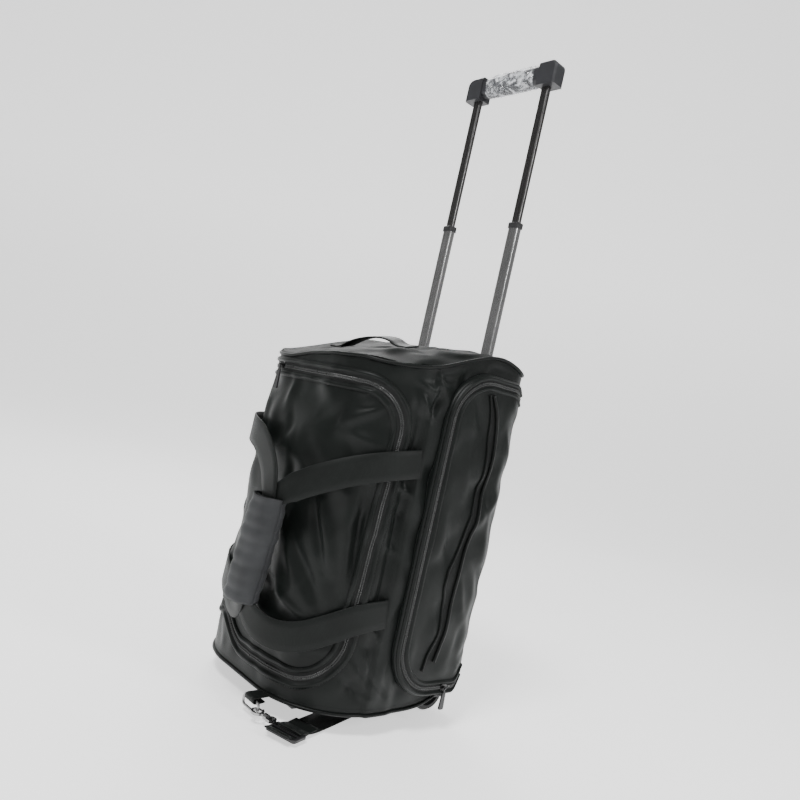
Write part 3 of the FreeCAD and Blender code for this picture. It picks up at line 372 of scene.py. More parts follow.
def lattice(low, high, gap):
    """Points in staggered rows over a flat box."""
    rows = []
    for k, v in enumerate(np.arange(low[1], high[1], gap * 0.866)):
        us = np.arange(low[0] + (k % 2) * gap / 2, high[0], gap)
        rows.append(np.stack([us, np.full_like(us, v)], axis=1))
    return np.concatenate(rows)


def cloth_panel(name, loop, mapper, spacing, materials, holes=(), dense=None, flip=False):
    """A sheet with any outline, triangulated flat and laid on a surface by mapper."""
    loops = [np.asarray(loop, float)] + [np.asarray(h, float) for h in holes]
    lo, hi = loops[0].min(0), loops[0].max(0)
    grid = lattice(lo, hi, spacing)
    if dense is not None:
        fine = lattice(lo, hi, spacing / 2)
        grid = np.concatenate([grid[~dense(grid)], fine[dense(fine)]])
    grid = grid[in_sheet(grid, loops)]
    edge = np.concatenate(loops)
    tree = kdtree.KDTree(len(edge))
    for i, p in enumerate(edge):
        tree.insert((p[0], p[1], 0), i)
    tree.balance()
    grid = grid[[tree.find((p[0], p[1], 0))[2] > spacing * 0.3 for p in grid]]
    edges, start = [], 0
    for one in loops:
        edges += [(start + i, start + (i + 1) % len(one)) for i in range(len(one))]
        start += len(one)
    flat = [Vector(p) for p in np.concatenate([edge, grid])]
    found, _, faces, _, _, _ = delaunay_2d_cdt(flat, edges, [], 0, 1e-7)
    flat = np.array([tuple(p) for p in found])
    keep = in_sheet(np.array([flat[list(f)].mean(0) for f in faces]), loops)
    faces = [tuple(reversed(f)) if flip else tuple(f) for f, k in zip(faces, keep) if k]
    return make_mesh(name, mapper(*flat.T), faces, materials, uv=flat)


def thicken(made, thick):
    """Give a cloth panel its thickness, inwards, with the lining on its inner face."""
    solid = made.modifiers.new("thickness", "SOLIDIFY")
    solid.thickness = thick
    solid.offset = -1
    solid.material_offset = 1
    return made


def sweep(name, route, profile, mapper, slots):
    """A trim that follows a flat route: profile holds (offset to the left, height) pairs."""
    normals = left_of(route)
    profile = np.asarray(profile, float)
    points, uv = [], []
    reach = distance_along(route)
    for across, high in profile:
        at = route + normals * across
        points.append(mapper(*at.T, high))
        uv.append(np.stack([reach, np.full(len(reach), across)], axis=1))
    faces = grid_faces(len(profile), len(route))
    face_slots = np.repeat(slots, len(route) - 1).tolist()
    return make_mesh(name, np.concatenate(points), faces, [TAPE, CLOTH], np.concatenate(uv), face_slots)


def coil(name, route, inner, outer, high, mapper):
    """One half of a zip's coil: a row of small teeth along the route."""
    pitch = 2.4 * MM
    fine = resample(route, pitch / 4)
    beat = np.arange(len(fine)) % 4
    lift = np.where((beat == 1) | (beat == 2), high, high * 0.45)
    normals = left_of(fine)
    mid, half = (inner + outer) / 2, (outer - inner) / 2
    points = []
    for across, share in ((-1.0, 0.25), (-0.55, 0.95), (0.1, 1.0), (0.7, 0.8), (1.0, 0.25)):
        at = fine + normals * (mid + half * across)
        points.append(mapper(*at.T, 0.6 * MM + lift * share))
    return make_mesh(name, np.concatenate(points), grid_faces(len(points), len(fine)), [COIL])


def tube(name, line, radius, material, closed=False, squash=1.0, sides=8):
    """A round cord or wire along a line in space."""
    line = np.asarray(line, float)
    along = units(np.roll(line, -1, axis=0) - np.roll(line, 1, axis=0)) if closed else heading(line)
    side = np.cross(along[0], [0.13, 0.21, 0.97])
    points = []
    for p, d in zip(line, along):
        side = unit(side - d * (side @ d))
        other = np.cross(d, side)
        for k in range(sides):
            t = math.tau * k / sides
            points.append(p + radius * (math.cos(t) * side + squash * math.sin(t) * other))
    rows = len(line)
    faces = grid_faces(rows, sides, flip=True, wrap=True, closed=closed)
    if not closed:
        faces += [tuple(reversed(range(sides))), tuple(range((rows - 1) * sides, rows * sides))]
    return make_mesh(name, points, faces, [material])


def webbing(name, line, across, wide, thick):
    """A flat strap: line is its middle and across its width direction, point by point."""
    line, across = np.asarray(line, float), np.asarray(across, float)
    along = heading(line)
    across = units(across - along * np.sum(across * along, axis=1)[:, None])
    out = np.cross(along, across)
    wide = np.broadcast_to(np.asarray(wide, float), len(line))
    reach = distance_along(line)
    h = thick / 2
    ring = [(-0.5, -0.55 * h), (-0.5, 0.55 * h), (-0.485, h), (-0.25, h), (0, h), (0.25, h), (0.485, h),
            (0.5, 0.55 * h), (0.5, -0.55 * h), (0.485, -h), (0, -h), (-0.485, -h)]
    points, uv = [], []
    for share, lift in ring:
        points.append(line + across * (wide * share)[:, None] + out * lift)
        uv.append(np.stack([reach, wide * share], axis=1))
    rows, count = len(line), len(ring)
    points, uv = np.stack(points, 1).reshape(-1, 3), np.stack(uv, 1).reshape(-1, 2)
    faces = grid_faces(rows, count, flip=True, wrap=True)
    faces += [tuple(reversed(range(count))), tuple(range((rows - 1) * count, rows * count))]
    return make_mesh(name, points, faces, [WEB], uv)


def stitches(name, route, gap, mapper):
    """A row of thread dashes along a flat route."""
    pitch, lift = 4 * MM, 0.25 * MM
    row = resample(beside(route, gap), pitch / 2)
    along = heading(row)
    points, faces = [], []
    half = 0.25 * MM
    for i in range(0, len(row) - 1, 2):
        p, d = row[i], along[i]
        n = np.array([-d[1], d[0]])
        start = len(points)
        for step, wide, high in ((-0.5, 0, 0), (-0.3, half, lift), (0.3, half, lift), (0.5, 0, 0),
                                 (0.3, -half, lift), (-0.3, -half, lift)):
            at = p + d * step * pitch * 0.72 + n * wide
            points.append((at[0], at[1], high))
        faces.append(tuple(start + k for k in (5, 4, 3, 2, 1, 0)))
    return make_mesh(name, mapper(*np.array(points).T), faces, [THREAD])


# ---- materials

def fill(tree, node, settings, **links):
    """The node with its values set and its inputs linked."""
    for key, value in settings.items():
        if isinstance(key, str) and hasattr(node, key):
            setattr(node, key, value)
        else:
            node.inputs[key].default_value = value
    for key, source in links.items():
        tree.links.new(source, node.inputs[key.replace("_", " ")])
    return node


def add(tree, kind, settings, **links):
    """A new shader node, filled in."""
    return fill(tree, tree.nodes.new(kind), settings, **links)


def noise(tree, place, scale, detail):
    """Soft random blotches, one every 1 / scale metres or so."""
    return add(tree, "ShaderNodeTexNoise", {"Scale": scale, "Detail": detail}, Vector=place).outputs["Fac"]


def shades(tree, source, low, high, start=0.3, end=0.7):
    """A colour that drifts between two shades."""
    ramp = tree.nodes.new("ShaderNodeValToRGB")
    ramp.color_ramp.elements[0].position = start
    ramp.color_ramp.elements[1].position = end
    ramp.color_ramp.elements[0].color = (*low, 1.0)
    ramp.color_ramp.elements[1].color = (*high, 1.0)
    tree.links.new(source, ramp.inputs["Fac"])
    return ramp.outputs["Color"]


def scaled(colour, by):
    """A lighter or darker shade of a colour."""
    return tuple(min(1.0, c * by) for c in colour)


def new_material(name):
    """A material, its node tree, its main shader and the place on the object in metres."""
    material = bpy.data.materials.new(name)
    material.use_nodes = True
    tree = material.node_tree
    place = add(tree, "ShaderNodeTexCoord", {}).outputs["Object"]
    return material, tree, tree.nodes["Principled BSDF"], place


def woven(name, colour, rough, pitch, depth, sheen=0.25, tone=0.22, ribs=False, gloss=0.19):
    """Cloth: crossing threads on the cloth coordinates, drifting shade, painted shade in the grooves
    between the threads and a soft sheen.
    """
    material, tree, bsdf, place = new_material(name)
    cloth = add(tree, "ShaderNodeUVMap", {"uv_map": "cloth"}).outputs["UV"]
    wave = {"wave_type": "BANDS", "Scale": math.tau / 20 / pitch, "Distortion": 0.3, "Detail": 0.0}
    warp = add(tree, "ShaderNodeTexWave", {**wave, "bands_direction": "X"}, Vector=cloth).outputs["Fac"]
    weft = add(tree, "ShaderNodeTexWave", {**wave, "bands_direction": "Y"}, Vector=cloth).outputs["Fac"]
    threads = warp
    if not ribs:
        threads = add(tree, "ShaderNodeMath", {"operation": "MAXIMUM"}).outputs[0]
        tree.links.new(warp, threads.node.inputs[0])
        tree.links.new(weft, threads.node.inputs[1])
    drift = noise(tree, place, 22.0, 3.0)
    fuzz = noise(tree, place, 700.0, 2.0)
    base = shades(tree, drift, scaled(colour, 1 - tone), scaled(colour, 1 + tone))
    # Painted shade: the colour darkens to 0.55 in the grooves between the threads, where the bump is
    # lowest.
    dark = shades(tree, threads, (0.55, 0.55, 0.55), (1, 1, 1), 0.0, 0.6)
    mixed = add(tree, "ShaderNodeMix", {"data_type": "RGBA", "blend_type": "MULTIPLY", 0: 1.0})
    tree.links.new(base, mixed.inputs[6])
    tree.links.new(dark, mixed.inputs[7])
    spread = add(tree, "ShaderNodeMapRange", {"To Min": rough - 0.07, "To Max": rough + 0.07}, Value=fuzz)
    grain = add(tree, "ShaderNodeBump", {"Strength": 0.5, "Distance": 0.05 * MM}, Height=fuzz)
    bump = add(tree, "ShaderNodeBump", {"Strength": 0.7, "Distance": depth}, Height=threads,
               Normal=grain.outputs[0])
    fill(tree, bsdf, {"Sheen Weight": sheen, "Sheen Roughness": 0.45, "Sheen Tint": (0.72, 0.8, 0.76, 1),
                      "Specular IOR Level": gloss},
         Base_Color=mixed.outputs[2], Roughness=spread.outputs[0], Normal=bump.outputs[0])
    return material


def moulded(name, colour, rough, grain=900.0, depth=0.06 * MM, coat=0.0):
    """Moulded plastic or rubber: fine grain, handling marks and an uneven gloss."""
    material, tree, bsdf, place = new_material(name)
    drift = noise(tree, place, 35.0, 4.0)
    fine = noise(tree, place, grain, 2.0)
    scuff = add(tree, "ShaderNodeTexVoronoi", {"Scale": 160.0, "Randomness": 1.0}, Vector=place)
    base = shades(tree, drift, scaled(colour, 0.86), scaled(colour, 1.16))
    spread = add(tree, "ShaderNodeMapRange", {"To Min": rough - 0.06, "To Max": rough + 0.1},
                 Value=scuff.outputs["Distance"])
    bump = add(tree, "ShaderNodeBump", {"Strength": 0.5, "Distance": depth}, Height=fine)
    fill(tree, bsdf, {"Coat Weight": coat, "Coat Roughness": 0.25},
         Base_Color=base, Roughness=spread.outputs[0], Normal=bump.outputs[0])
    return material


def metal(name, colour, rough, stretch=(1.0, 1.0, 0.02), grain=1400.0):
    """Drawn or plated metal: fine lines along its length and a drifting shade."""
    material, tree, bsdf, place = new_material(name)
    lines = add(tree, "ShaderNodeMapping", {"Scale": stretch}, Vector=place).outputs[0]
    fine = noise(tree, lines, grain, 3.0)
    drift = noise(tree, place, 18.0, 4.0)
    base = shades(tree, drift, scaled(colour, 0.88), scaled(colour, 1.12))
    spread = add(tree, "ShaderNodeMapRange", {"To Min": rough - 0.08, "To Max": rough + 0.1}, Value=fine)
    bump = add(tree, "ShaderNodeBump", {"Strength": 0.25, "Distance": 0.03 * MM}, Height=fine)
    fill(tree, bsdf, {"Metallic": 1.0},
         Base_Color=base, Roughness=spread.outputs[0], Normal=bump.outputs[0])
    return material


def film_material():
    """Thin clear wrapping: mostly see-through, with pale, less clear patches on its crinkles, partly the
    film's milky creasing and partly painted highlights for its glints.
    """
    material, tree, bsdf, place = new_material("clear_film")
    cloud = add(tree, "ShaderNodeTexNoise", {"Scale": 85.0, "Detail": 5.0, "Distortion": 1.4}, Vector=place)
    fac = cloud.outputs["Fac"]
    # Painted highlights: where the noise is high the colour turns pale and the film less clear, partly
    # milky creasing and partly glints painted on.
    base = shades(tree, fac, (0.42, 0.44, 0.47), (0.9, 0.92, 0.95))
    alpha = add(tree, "ShaderNodeMapRange",
                {"From Min": 0.44, "From Max": 0.6, "To Min": 0.1, "To Max": 0.55}, Value=fac)
    bump = add(tree, "ShaderNodeBump", {"Strength": 0.9, "Distance": 1.0 * MM}, Height=fac)
    fill(tree, bsdf, {"Roughness": 0.1, "Specular IOR Level": 0.8},
         Base_Color=base, Alpha=alpha.outputs[0], Normal=bump.outputs[0])
    return material


CLOTH = woven("black_polyester", (0.0034, 0.0048, 0.0041), 0.43, 0.9 * MM, 0.04 * MM, sheen=0.04)
END_CLOTH = woven("end_polyester", (0.0034, 0.0048, 0.0041), 0.55, 0.9 * MM, 0.04 * MM,
                  sheen=0.0, gloss=0.06)
LINING = woven("grey_lining", (0.03, 0.031, 0.033), 0.6, 0.7 * MM, 0.06 * MM, sheen=0.05)
TAPE = woven("zip_tape", (0.006, 0.0068, 0.0064), 0.6, 1.4 * MM, 0.14 * MM, sheen=0.03)
WEB = woven("ribbed_webbing", (0.0052, 0.0066, 0.0059), 0.5, 1.7 * MM, 0.12 * MM, sheen=0.03, ribs=True)
CUFF = woven("padded_cuff", (0.0036, 0.0048, 0.0042), 0.55, 1.0 * MM, 0.05 * MM, sheen=0.0, gloss=0.08)
THREAD = woven("thread", (0.016, 0.018, 0.017), 0.5, 0.5 * MM, 0.05 * MM, sheen=0.05)
COIL = moulded("coil_nylon", (0.013, 0.014, 0.0135), 0.3, 600.0)
MOULDED = {
    "board": ((0.05, 0.05, 0.05), 0.7, 500.0),
    "moulded_black": ((0.014, 0.014, 0.015), 0.42, 1100.0, 0.08 * MM),
    "handle_grey": ((0.018, 0.0185, 0.021), 0.34, 1300.0),
    "button_grey": ((0.06, 0.06, 0.064), 0.3, 1300.0, 0.06 * MM, 0.3),
    "zip_pull": ((0.016, 0.016, 0.017), 0.4, 700.0),
    "wheel_hub": ((0.02, 0.02, 0.021), 0.45, 900.0),
    "tyre": ((0.012, 0.012, 0.012), 0.6, 500.0, 0.12 * MM),
}
METAL = {
    "dark_tube": ((0.11, 0.107, 0.107), 0.26),
    "silver_tube": ((0.34, 0.34, 0.34), 0.27),
    "steel_tube": ((0.42, 0.42, 0.42), 0.38),
    "steel": ((0.32, 0.32, 0.32), 0.26, (1, 1, 1), 500.0),
    "zip_metal": ((0.07, 0.07, 0.07), 0.3, (1, 1, 1), 700.0),
}
LOOKS = {"clear_film": film_material(), "zip_tape": TAPE, "webbing": WEB, "grip_fabric": CUFF,
         "bag_fabric": CLOTH}
LOOKS.update({name: moulded(name, *look) for name, look in MOULDED.items()})
LOOKS.update({name: metal(name, *look) for name, look in METAL.items()})


def paint_frame():
    """Gives every CAD node the look of its slot."""
    for part in frame["record"]["subparts"]:
        mesh = frame["nodes"][part["node"]].data
        mesh.materials.clear()
        mesh.materials.append(LOOKS[part["material_slot"]])


# ---- helpers for placing pieces

def belongs(made, body):
    """The piece moves with a body."""
    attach(made, body)
    return made


def closed_loop(points, step):
    """Evenly spaced points round a closed outline."""
    return resample([*points, points[0]], step)[:-1]


# ---- the bag's cloth

EDGE_STEP = 4 * MM
NOTCH_HALF = 17 * MM
NOTCH_TOP = 68 * MM


def zip_route():
    """The main zip's middle line, from the hinge's foot round to its head."""
    return filleted([(HINGE, COIL_LOW), (COIL_NEAR, COIL_LOW), (COIL_NEAR, COIL_TOP), (HINGE, COIL_TOP)],
                    COIL_R, 3 * MM)


def wall_outline():
    """The wall cloth's edge, cut out round the two wheel housings at the back."""
    s = np.arange(-S_BACK, S_BACK + EDGE_STEP / 2, 2 * S_BACK / 280)
    top, low = rim_heights(s)
    housing_low, housing_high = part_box("wheel_housing_right")
    housing_x = abs((housing_low.x + housing_high.x) / 2 - MID[0])
    middle = S_BACK - housing_x
    in_notch = np.abs(np.abs(s) - middle) < NOTCH_HALF
    low = np.where(in_notch, NOTCH_TOP, np.where(np.abs(s) > middle, back_low.z, low))
    lower = np.stack([s, low], axis=1)
    upper = np.stack([s, top], axis=1)[::-1]
    return closed_loop(np.concatenate([lower, upper]), EDGE_STEP)


def bag_wall():
    """The body's cloth, open under the main zip."""
    hole = beside(zip_route(), -1.5 * MM)
    hole = closed_loop(np.stack(front_place(*hole.T), axis=1), 3 * MM)

    def dense(p):
        return (p[:, 0] > -90 * MM) & (p[:, 0] < S_SIDE + SIDE_RUN)
    made = cloth_panel("wall_cloth", wall_outline(), wall, 7 * MM, [CLOTH, LINING], [hole], dense)
    thicken(made, CLOTH_THICK)
    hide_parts("bag_shell", "bag_back_panel")
    return belongs(made, "bag")


def flap_cloth():
    """The main flap: cloth inside the zip, its far edge on the flap's hinge line."""
    edge = beside(zip_route(), 1.5 * MM)
    edge[0, 0] = edge[-1, 0] = HINGE
    loop = closed_loop(edge, 3 * MM)

    def lay(u, v):
        return front(u, v, 0.8 * MM)
    made = cloth_panel("flap_cloth", loop, lay, 3.5 * MM, [CLOTH, LINING])
    thicken(made, CLOTH_THICK)
    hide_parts("main_flap")
    bend_at_flap(made)


def bend_at_flap(made):
    """Bakes the piece's placement into its mesh."""
    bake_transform(made)


def ends():
    """The sloping top end and the foot end, each a panel in the section's outline."""
    s = np.arange(-S_BACK, S_BACK, 2 * S_BACK / 260)
    x, y, _, _ = section(s)
    outline = np.stack([x, y], axis=1)

    def inward(u, v):
        return np.minimum(1, (1 - np.maximum(np.abs(u) / HALF_W, np.abs(v) / HALF_D)) * 9)

    def top(u, v):
        edge = inward(u, v)
        rise = ripple(u + 0.4, v, 7 * MM) * edge + 4 * MM * edge
        return np.stack([MID[0] + u, MID[1] + v, top_height(u, v) + rise], axis=-1)

    def base(u, v):
        return np.stack([MID[0] + u, MID[1] + v, base_height(u, v) - 0.8 * MM * inward(u, v)], axis=-1)

    bezel_low, bezel_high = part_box("tube_bezel")
    slot_hole = box_loop(bezel_low, bezel_high, -3 * MM)
    top_cloth = cloth_panel("top_end_cloth", outline, top, 5 * MM, [END_CLOTH, LINING], [slot_hole])
    thicken(top_cloth, THIN_CLOTH)
    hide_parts("bag_top_end")
    belongs(top_cloth, "bag")
    holes = []
    for side in ("left", "right"):
        low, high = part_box("wheel_housing_" + side)
        holes.append(box_loop(low, Vector((high.x, MID[1] + HALF_D - 6 * MM, 0)), -3.5 * MM))
    base_cloth = cloth_panel("base_end_cloth", outline, base, 7 * MM, [CLOTH, LINING], holes, flip=True)
    thicken(base_cloth, THIN_CLOTH)
    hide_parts("bag_base_end")
    belongs(base_cloth, "bag")


def box_loop(low, high, grow):
    """A box's plan outline about the bag's middle, grown all round."""
    x0, x1 = low.x - MID[0] - grow, high.x - MID[0] + grow
    y0, y1 = low.y - MID[1] - grow, high.y - MID[1] + grow
    return closed_loop([(x0, y0), (x1, y0), (x1, y1), (x0, y1)], EDGE_STEP)


def rims():
    """Piping round both ends and down the back panel's two sides."""
    s = np.arange(-S_BACK, S_BACK, 2 * S_BACK / 300)
    top, low = rim_heights(s)
    for name, height in (("top_piping", top), ("base_piping", low)):
        line = wall(s, height, 0.6 * MM)
        belongs(tube(name, line, 2.4 * MM, CLOTH, closed=True), "bag")
    edge = S_BACK - HALF_W + BACK_R - 14 * MM
    for name, side in (("back_piping_left", -1), ("back_piping_right", 1)):
        route = resample([(side * edge, NOTCH_TOP + 20 * MM), (side * edge, TOP - 40 * MM)], 6 * MM)
        line = wall(*route.T, 0.8 * MM)
        belongs(tube(name, line, 2.2 * MM, CLOTH), "bag")


# ---- zips

def half_profile(side):
    """Tape and welt on one side of a coil; side 1 is to the left of the route."""
    shape = [(0.4, 0.4), (3.4, 0.7), (4.2, 0.5), (6.5, 0.6), (7.4, 2.4), (8.8, 3.3), (11.2, 3.3),
             (12.6, 2.3), (13.4, 0.9), (14.2, 0.2)]
    profile = [(side * across * MM, high * MM) for across, high in shape]
    return profile if side < 0 else profile[::-1]


# Each strip of the profile is tape (0) or the cloth of the welt (1).
PROFILE_SLOTS = [0, 0, 0, 1, 1, 1, 1, 1, 1]
COIL_GAP, COIL_WIDE, COIL_HIGH = 0.05 * MM, 2.6 * MM, 1.7 * MM
WELT_STITCH, WELT_TOP = 12.9 * MM, 2.7 * MM


def main_zip():
    """The main zip: tape, folded welt and coil, half on the bag and half on the flap."""
    route = zip_route()

    def lay(u, v, high):
        return front(u, v, high + 0.6 * MM)
    outer = sweep("main_zip_outer", route, half_profile(-1), lay, PROFILE_SLOTS)
    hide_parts("main_zip_tape")
    belongs(outer, "bag")
    inner = sweep("main_zip_inner", route, half_profile(1), lay, PROFILE_SLOTS[::-1])
    bend_at_flap(inner)
    belongs(coil("main_coil_outer", route, -COIL_WIDE, -COIL_GAP, COIL_HIGH, lay), "bag")
    teeth_in = coil("main_coil_inner", route, COIL_GAP, COIL_WIDE, COIL_HIGH, lay)
    bend_at_flap(teeth_in)
    for name, gap in (("outer", -WELT_STITCH), ("inner", WELT_STITCH)):
        row = stitches("main_zip_thread_" + name, route, gap,
                       lambda u, v, high: front(u, v, high + WELT_TOP))
        if name == "outer":
            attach(row, "bag")
        else:
            bend_at_flap(row)


# ---- side pocket

POCKET_FOLDS = [
    (74, 292, 126, 352, 9, 3.2), (90, 250, 120, 200, 9, -2.6), (100, 430, 128, 380, 9, 2.4),
    (20, 410, 42, 330, 9, 2.4), (22, 300, 40, 230, 8, -2.4), (24, 180, 44, 120, 8, 2.6),
    (84, 170, 122, 120, 10, 3.0), (96, 106, 126, 96, 8, -2.0), (20, 470, 46, 420, 7, -2.0),
    (80, 380, 96, 300, 7, -2.6), (70, 220, 86, 160, 7, 2.6),
]
TAPE_LOW, TAPE_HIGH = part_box("pocket_zip_tape")
FLAP_LOW, FLAP_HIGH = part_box("pocket_flap")
POCKET_BAND = (FLAP_LOW.z - TAPE_LOW.z) / 2
POCKET_X = FLAP_HIGH.x
POCKET_BACK = FLAP_HIGH.y - MID[1]
POCKET_FRONT = TAPE_LOW.y + POCKET_BAND - MID[1]
POCKET_LOW = TAPE_LOW.z + POCKET_BAND
POCKET_TOP = TAPE_HIGH.z - POCKET_BAND
POCKET_R = 62 * MM
POCKET_SHARE = 0.72
POCKET_COIL, POCKET_COIL_HIGH = 2.3 * MM, 1.5 * MM


def pocket(y, z, lift=0.0):
    """Points on the pocket's outer face, y from the bag's middle."""
    edge_y = ease((y - POCKET_FRONT) / (22 * MM))
    hem = edge_y * ease((z - POCKET_LOW) / (26 * MM)) * ease((POCKET_TOP - z) / (26 * MM))
    soft = hem * (ripple(y + 0.9, z, 6 * MM) + 1.3 * folds(y, z, POCKET_FOLDS))
    back = ease((y - 98 * MM) / (38 * MM))
    out = POCKET_X - 2.4 * MM * (1 - edge_y) - 11 * MM * back + soft * 0.8 + lift
    drop = 15 * MM * ease((z - 300 * MM) / (180 * MM)) - 24 * MM * ease((220 * MM - z) / (150 * MM))
    return np.stack([out, MID[1] + y - 3 * MM * back, z - drop * back], axis=-1)


def pocket_route():
    """The pocket zip's middle line, from the pocket's back foot to its back head."""
    return filleted([(POCKET_BACK, POCKET_LOW), (POCKET_FRONT, POCKET_LOW), (POCKET_FRONT, POCKET_TOP),
                     (POCKET_BACK, POCKET_TOP)], POCKET_R, 3 * MM)


def bend_at_pocket(made):
    """Bakes the piece's placement into its mesh."""
    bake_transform(made)


def pocket_cloth():
    """The pocket's panel inside its zip, its back edge on the panel's hinge line."""
    route = beside(pocket_route(), -1.5 * MM)
    made = cloth_panel("pocket_cloth", closed_loop(route, 3 * MM), pocket, 3.5 * MM, [CLOTH, LINING])
    thicken(made, THIN_CLOTH)
    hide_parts("pocket_flap")
    bend_at_pocket(made)


def pocket_side():
    """The low cloth wall between the bag's side and the pocket's zip."""
    route = beside(pocket_route(), POCKET_BAND)
    rows = []
    for share in np.linspace(0, 1, 6):
        spread = 2 * MM * math.sin(math.pi * share)
        at = beside(route, spread)
        face = pocket(*at.T, -0.5 * MM)
        s = S_SIDE + HALF_D - FRONT_R + at[:, 0]
        root = wall(s, at[:, 1], -1 * MM)
        rows.append(root * (1 - share) + face * share)
    count = len(route)
    faces = grid_faces(len(rows), count, flip=True)
    uv = np.concatenate([np.stack([np.arange(count) * 3 * MM, np.full(count, j * 3 * MM)], axis=1)
                         for j in range(len(rows))])
    made = make_mesh("pocket_side_cloth", np.concatenate(rows), faces, [CLOTH, LINING], uv)
    thicken(made, THIN_CLOTH)
    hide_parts("pocket_gusset")
    belongs(made, "bag")


def pocket_zip():
    """The pocket's zip, half on the bag and half on the pocket's panel."""
    route = pocket_route()

    def lay(u, v, high):
        return pocket(u, v, high * 0.9)

    def narrow(side):
        return [(across * -POCKET_SHARE, high) for across, high in half_profile(side)][::-1]
    made = sweep("pocket_zip_outer", route, narrow(-1), lay, PROFILE_SLOTS[::-1])
    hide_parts("pocket_zip_tape")
    belongs(made, "bag")
    made = sweep("pocket_zip_inner", route, narrow(1), lay, PROFILE_SLOTS)
    bend_at_pocket(made)
    made = coil("pocket_coil_outer", route, COIL_GAP, POCKET_COIL, POCKET_COIL_HIGH, lay)
    belongs(made, "bag")
    made = coil("pocket_coil_inner", route, -POCKET_COIL, -COIL_GAP, POCKET_COIL_HIGH, lay)
    bend_at_pocket(made)


def pocket_placket():
    """The rolled hem of the open slip pocket sewn on the panel, with its dark gap in front."""
    hem = curve_through([(52, 476), (64, 455), (72, 430), (78, 400), (76, 350), (72, 300), (64, 250),
                         (60, 215), (58, 170), (56, 130), (50, 100)], 3) * MM
    roll = tube("placket_roll", pocket(*hem.T, 2.0 * MM), 3.4 * MM, CLOTH, squash=0.75)
    bend_at_pocket(roll)
    front_edge = curve_through([(46, 476), (56, 450), (64, 405), (65, 350), (60, 300), (50, 250), (34, 212),
                                (44, 186), (46, 150), (38, 112), (32, 88)], 3) * MM
    lip = tube("placket_lip", pocket(*front_edge.T, 1.2 * MM), 1.8 * MM, CLOTH)
    bend_at_pocket(lip)
    loop = closed_loop(np.concatenate([resample(hem, 3 * MM), resample(front_edge, 3 * MM)[::-1]]), 3 * MM)
    gap = cloth_panel("placket_gap", loop, lambda u, v: pocket(u, v, 0.5 * MM), 4 * MM, [TAPE])
    bend_at_pocket(gap)


# ---- handles

WRAP_LOW, WRAP_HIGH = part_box("grip_wrap")
CUFF_S, CUFF_LIFT = 33 * MM, 41 * MM
CUFF_LEAN = 16 * MM
CUFF_WIDE, CUFF_DEEP = 23.5 * MM, 14.5 * MM
NEAR_PATH = [(206, 364, 3), (182, 360, 7), (150, 351, 12), (118, 338, 18), (86, 318, 27), (62, 298, 37),
             (43, 278, 43), (36, 212, 41), (26, 152, 41), (36, 128, 36), (66, 112, 28), (100, 116, 15),
             (136, 138, 9), (172, 158, 6), (206, 164, 3)]
FAR_PATH = [(-206, 364, 3), (-160, 362, 8), (-100, 360, 16), (-58, 356, 24), (-24, 344, 30), (10, 322, 36),
            (32, 300, 42), (42, 276, 44), (35, 212, 44), (25, 152, 44), (12, 130, 36), (-14, 122, 26),
            (-50, 136, 15), (-100, 154, 9), (-206, 164, 3)]


def handle(name, node_name, path):
    """One carry handle: webbing from the seam into the cuff and out again."""
    flat = curve_through(path, 4.0)
    s, z, lift = flat.T * MM
    line = leaf(s, z, lift)
    outward = leaf(s, z, lift + 10 * MM) - line
    across = np.cross(outward, np.gradient(line, axis=0))
    in_cuff = ease((flat[:, 1] - 120) / 30) * ease((310 - flat[:, 1]) / 30)
    wide = (38 - 8 * in_cuff * (np.abs(flat[:, 0] - 34) < 30)) * MM
    made = webbing(name, line, across, wide, 2.2 * MM)
    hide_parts(node_name)
    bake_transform(made)


def rounded(angle, power):
    """A point on a squared-off circle of half width 1."""
    c, n = math.cos(angle), math.sin(angle)
    reach = (abs(c) ** power + abs(n) ** power) ** (-1 / power)
    return c * reach, n * reach


def cuff():
    """The padded sleeve wrapped round both handles, a closed roll with hemmed ends and an overlap."""
    low, high = WRAP_LOW.z, WRAP_HIGH.z
    centre = leaf([CUFF_S], 0.2, CUFF_LIFT)[0]
    _, _, nx, ny = section(np.array([CUFF_S]))
    out = np.array([nx[0], ny[0], 0.0])
    side = np.array([-out[1], out[0], 0.0])
    rows, around, overlap = 46, 56, math.pi * 0.78
    points, uv = [], []
    for i in range(rows):
        t = i / (rows - 1)
        z = low + (high - low) * t
        pinch = 1 - 0.13 * (abs(2 * t - 1) ** 6) - 0.03 * math.sin(9 * t) ** 2
        crease = 0.5 * MM * math.sin(52 * t) + 0.4 * MM * math.sin(31 * t + 1)
        for k in range(around):
            a = math.tau * k / around
            c, n = rounded(a, 3)
            step = 1.3 * MM if a < overlap else 0
            p = centre + side * (c * (CUFF_WIDE * pinch + crease + step) + CUFF_LEAN * (t - 0.5))
            p = p + out * n * (CUFF_DEEP * pinch + crease + step)
            points.append((p[0], p[1], z + 0.8 * MM * math.sin(3 * a)))
            uv.append((a * 18 * MM, z))
    made = make_mesh("cuff_cloth", points, grid_faces(rows, around, wrap=True), [CUFF, LINING], uv)
    thicken(made, CUFF_THICK)
    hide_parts("grip_wrap")
    belongs(made, "near_handle")
    for name, z in (("cuff_hem_low", low + 2 * MM), ("cuff_hem_high", high - 2 * MM)):
        ring = []
        for k in range(48):
            a = math.tau * k / 48
            c, n = rounded(a, 3)
            lean = CUFF_LEAN * ((z - low) / (high - low) - 0.5)
            p = centre + side * (c * CUFF_WIDE * 0.885 + lean) + out * n * CUFF_DEEP * 0.885
            ring.append((p[0], p[1], z))
        belongs(tube(name, ring, 2.0 * MM, CUFF, closed=True), "near_handle")


def bag_strap(name, line, across, wide, thick):
    """A strap sewn to the bag, its width in one direction all along."""
    made = webbing(name, line, np.tile(across, (len(line), 1)), wide, thick)
    return belongs(made, "bag")


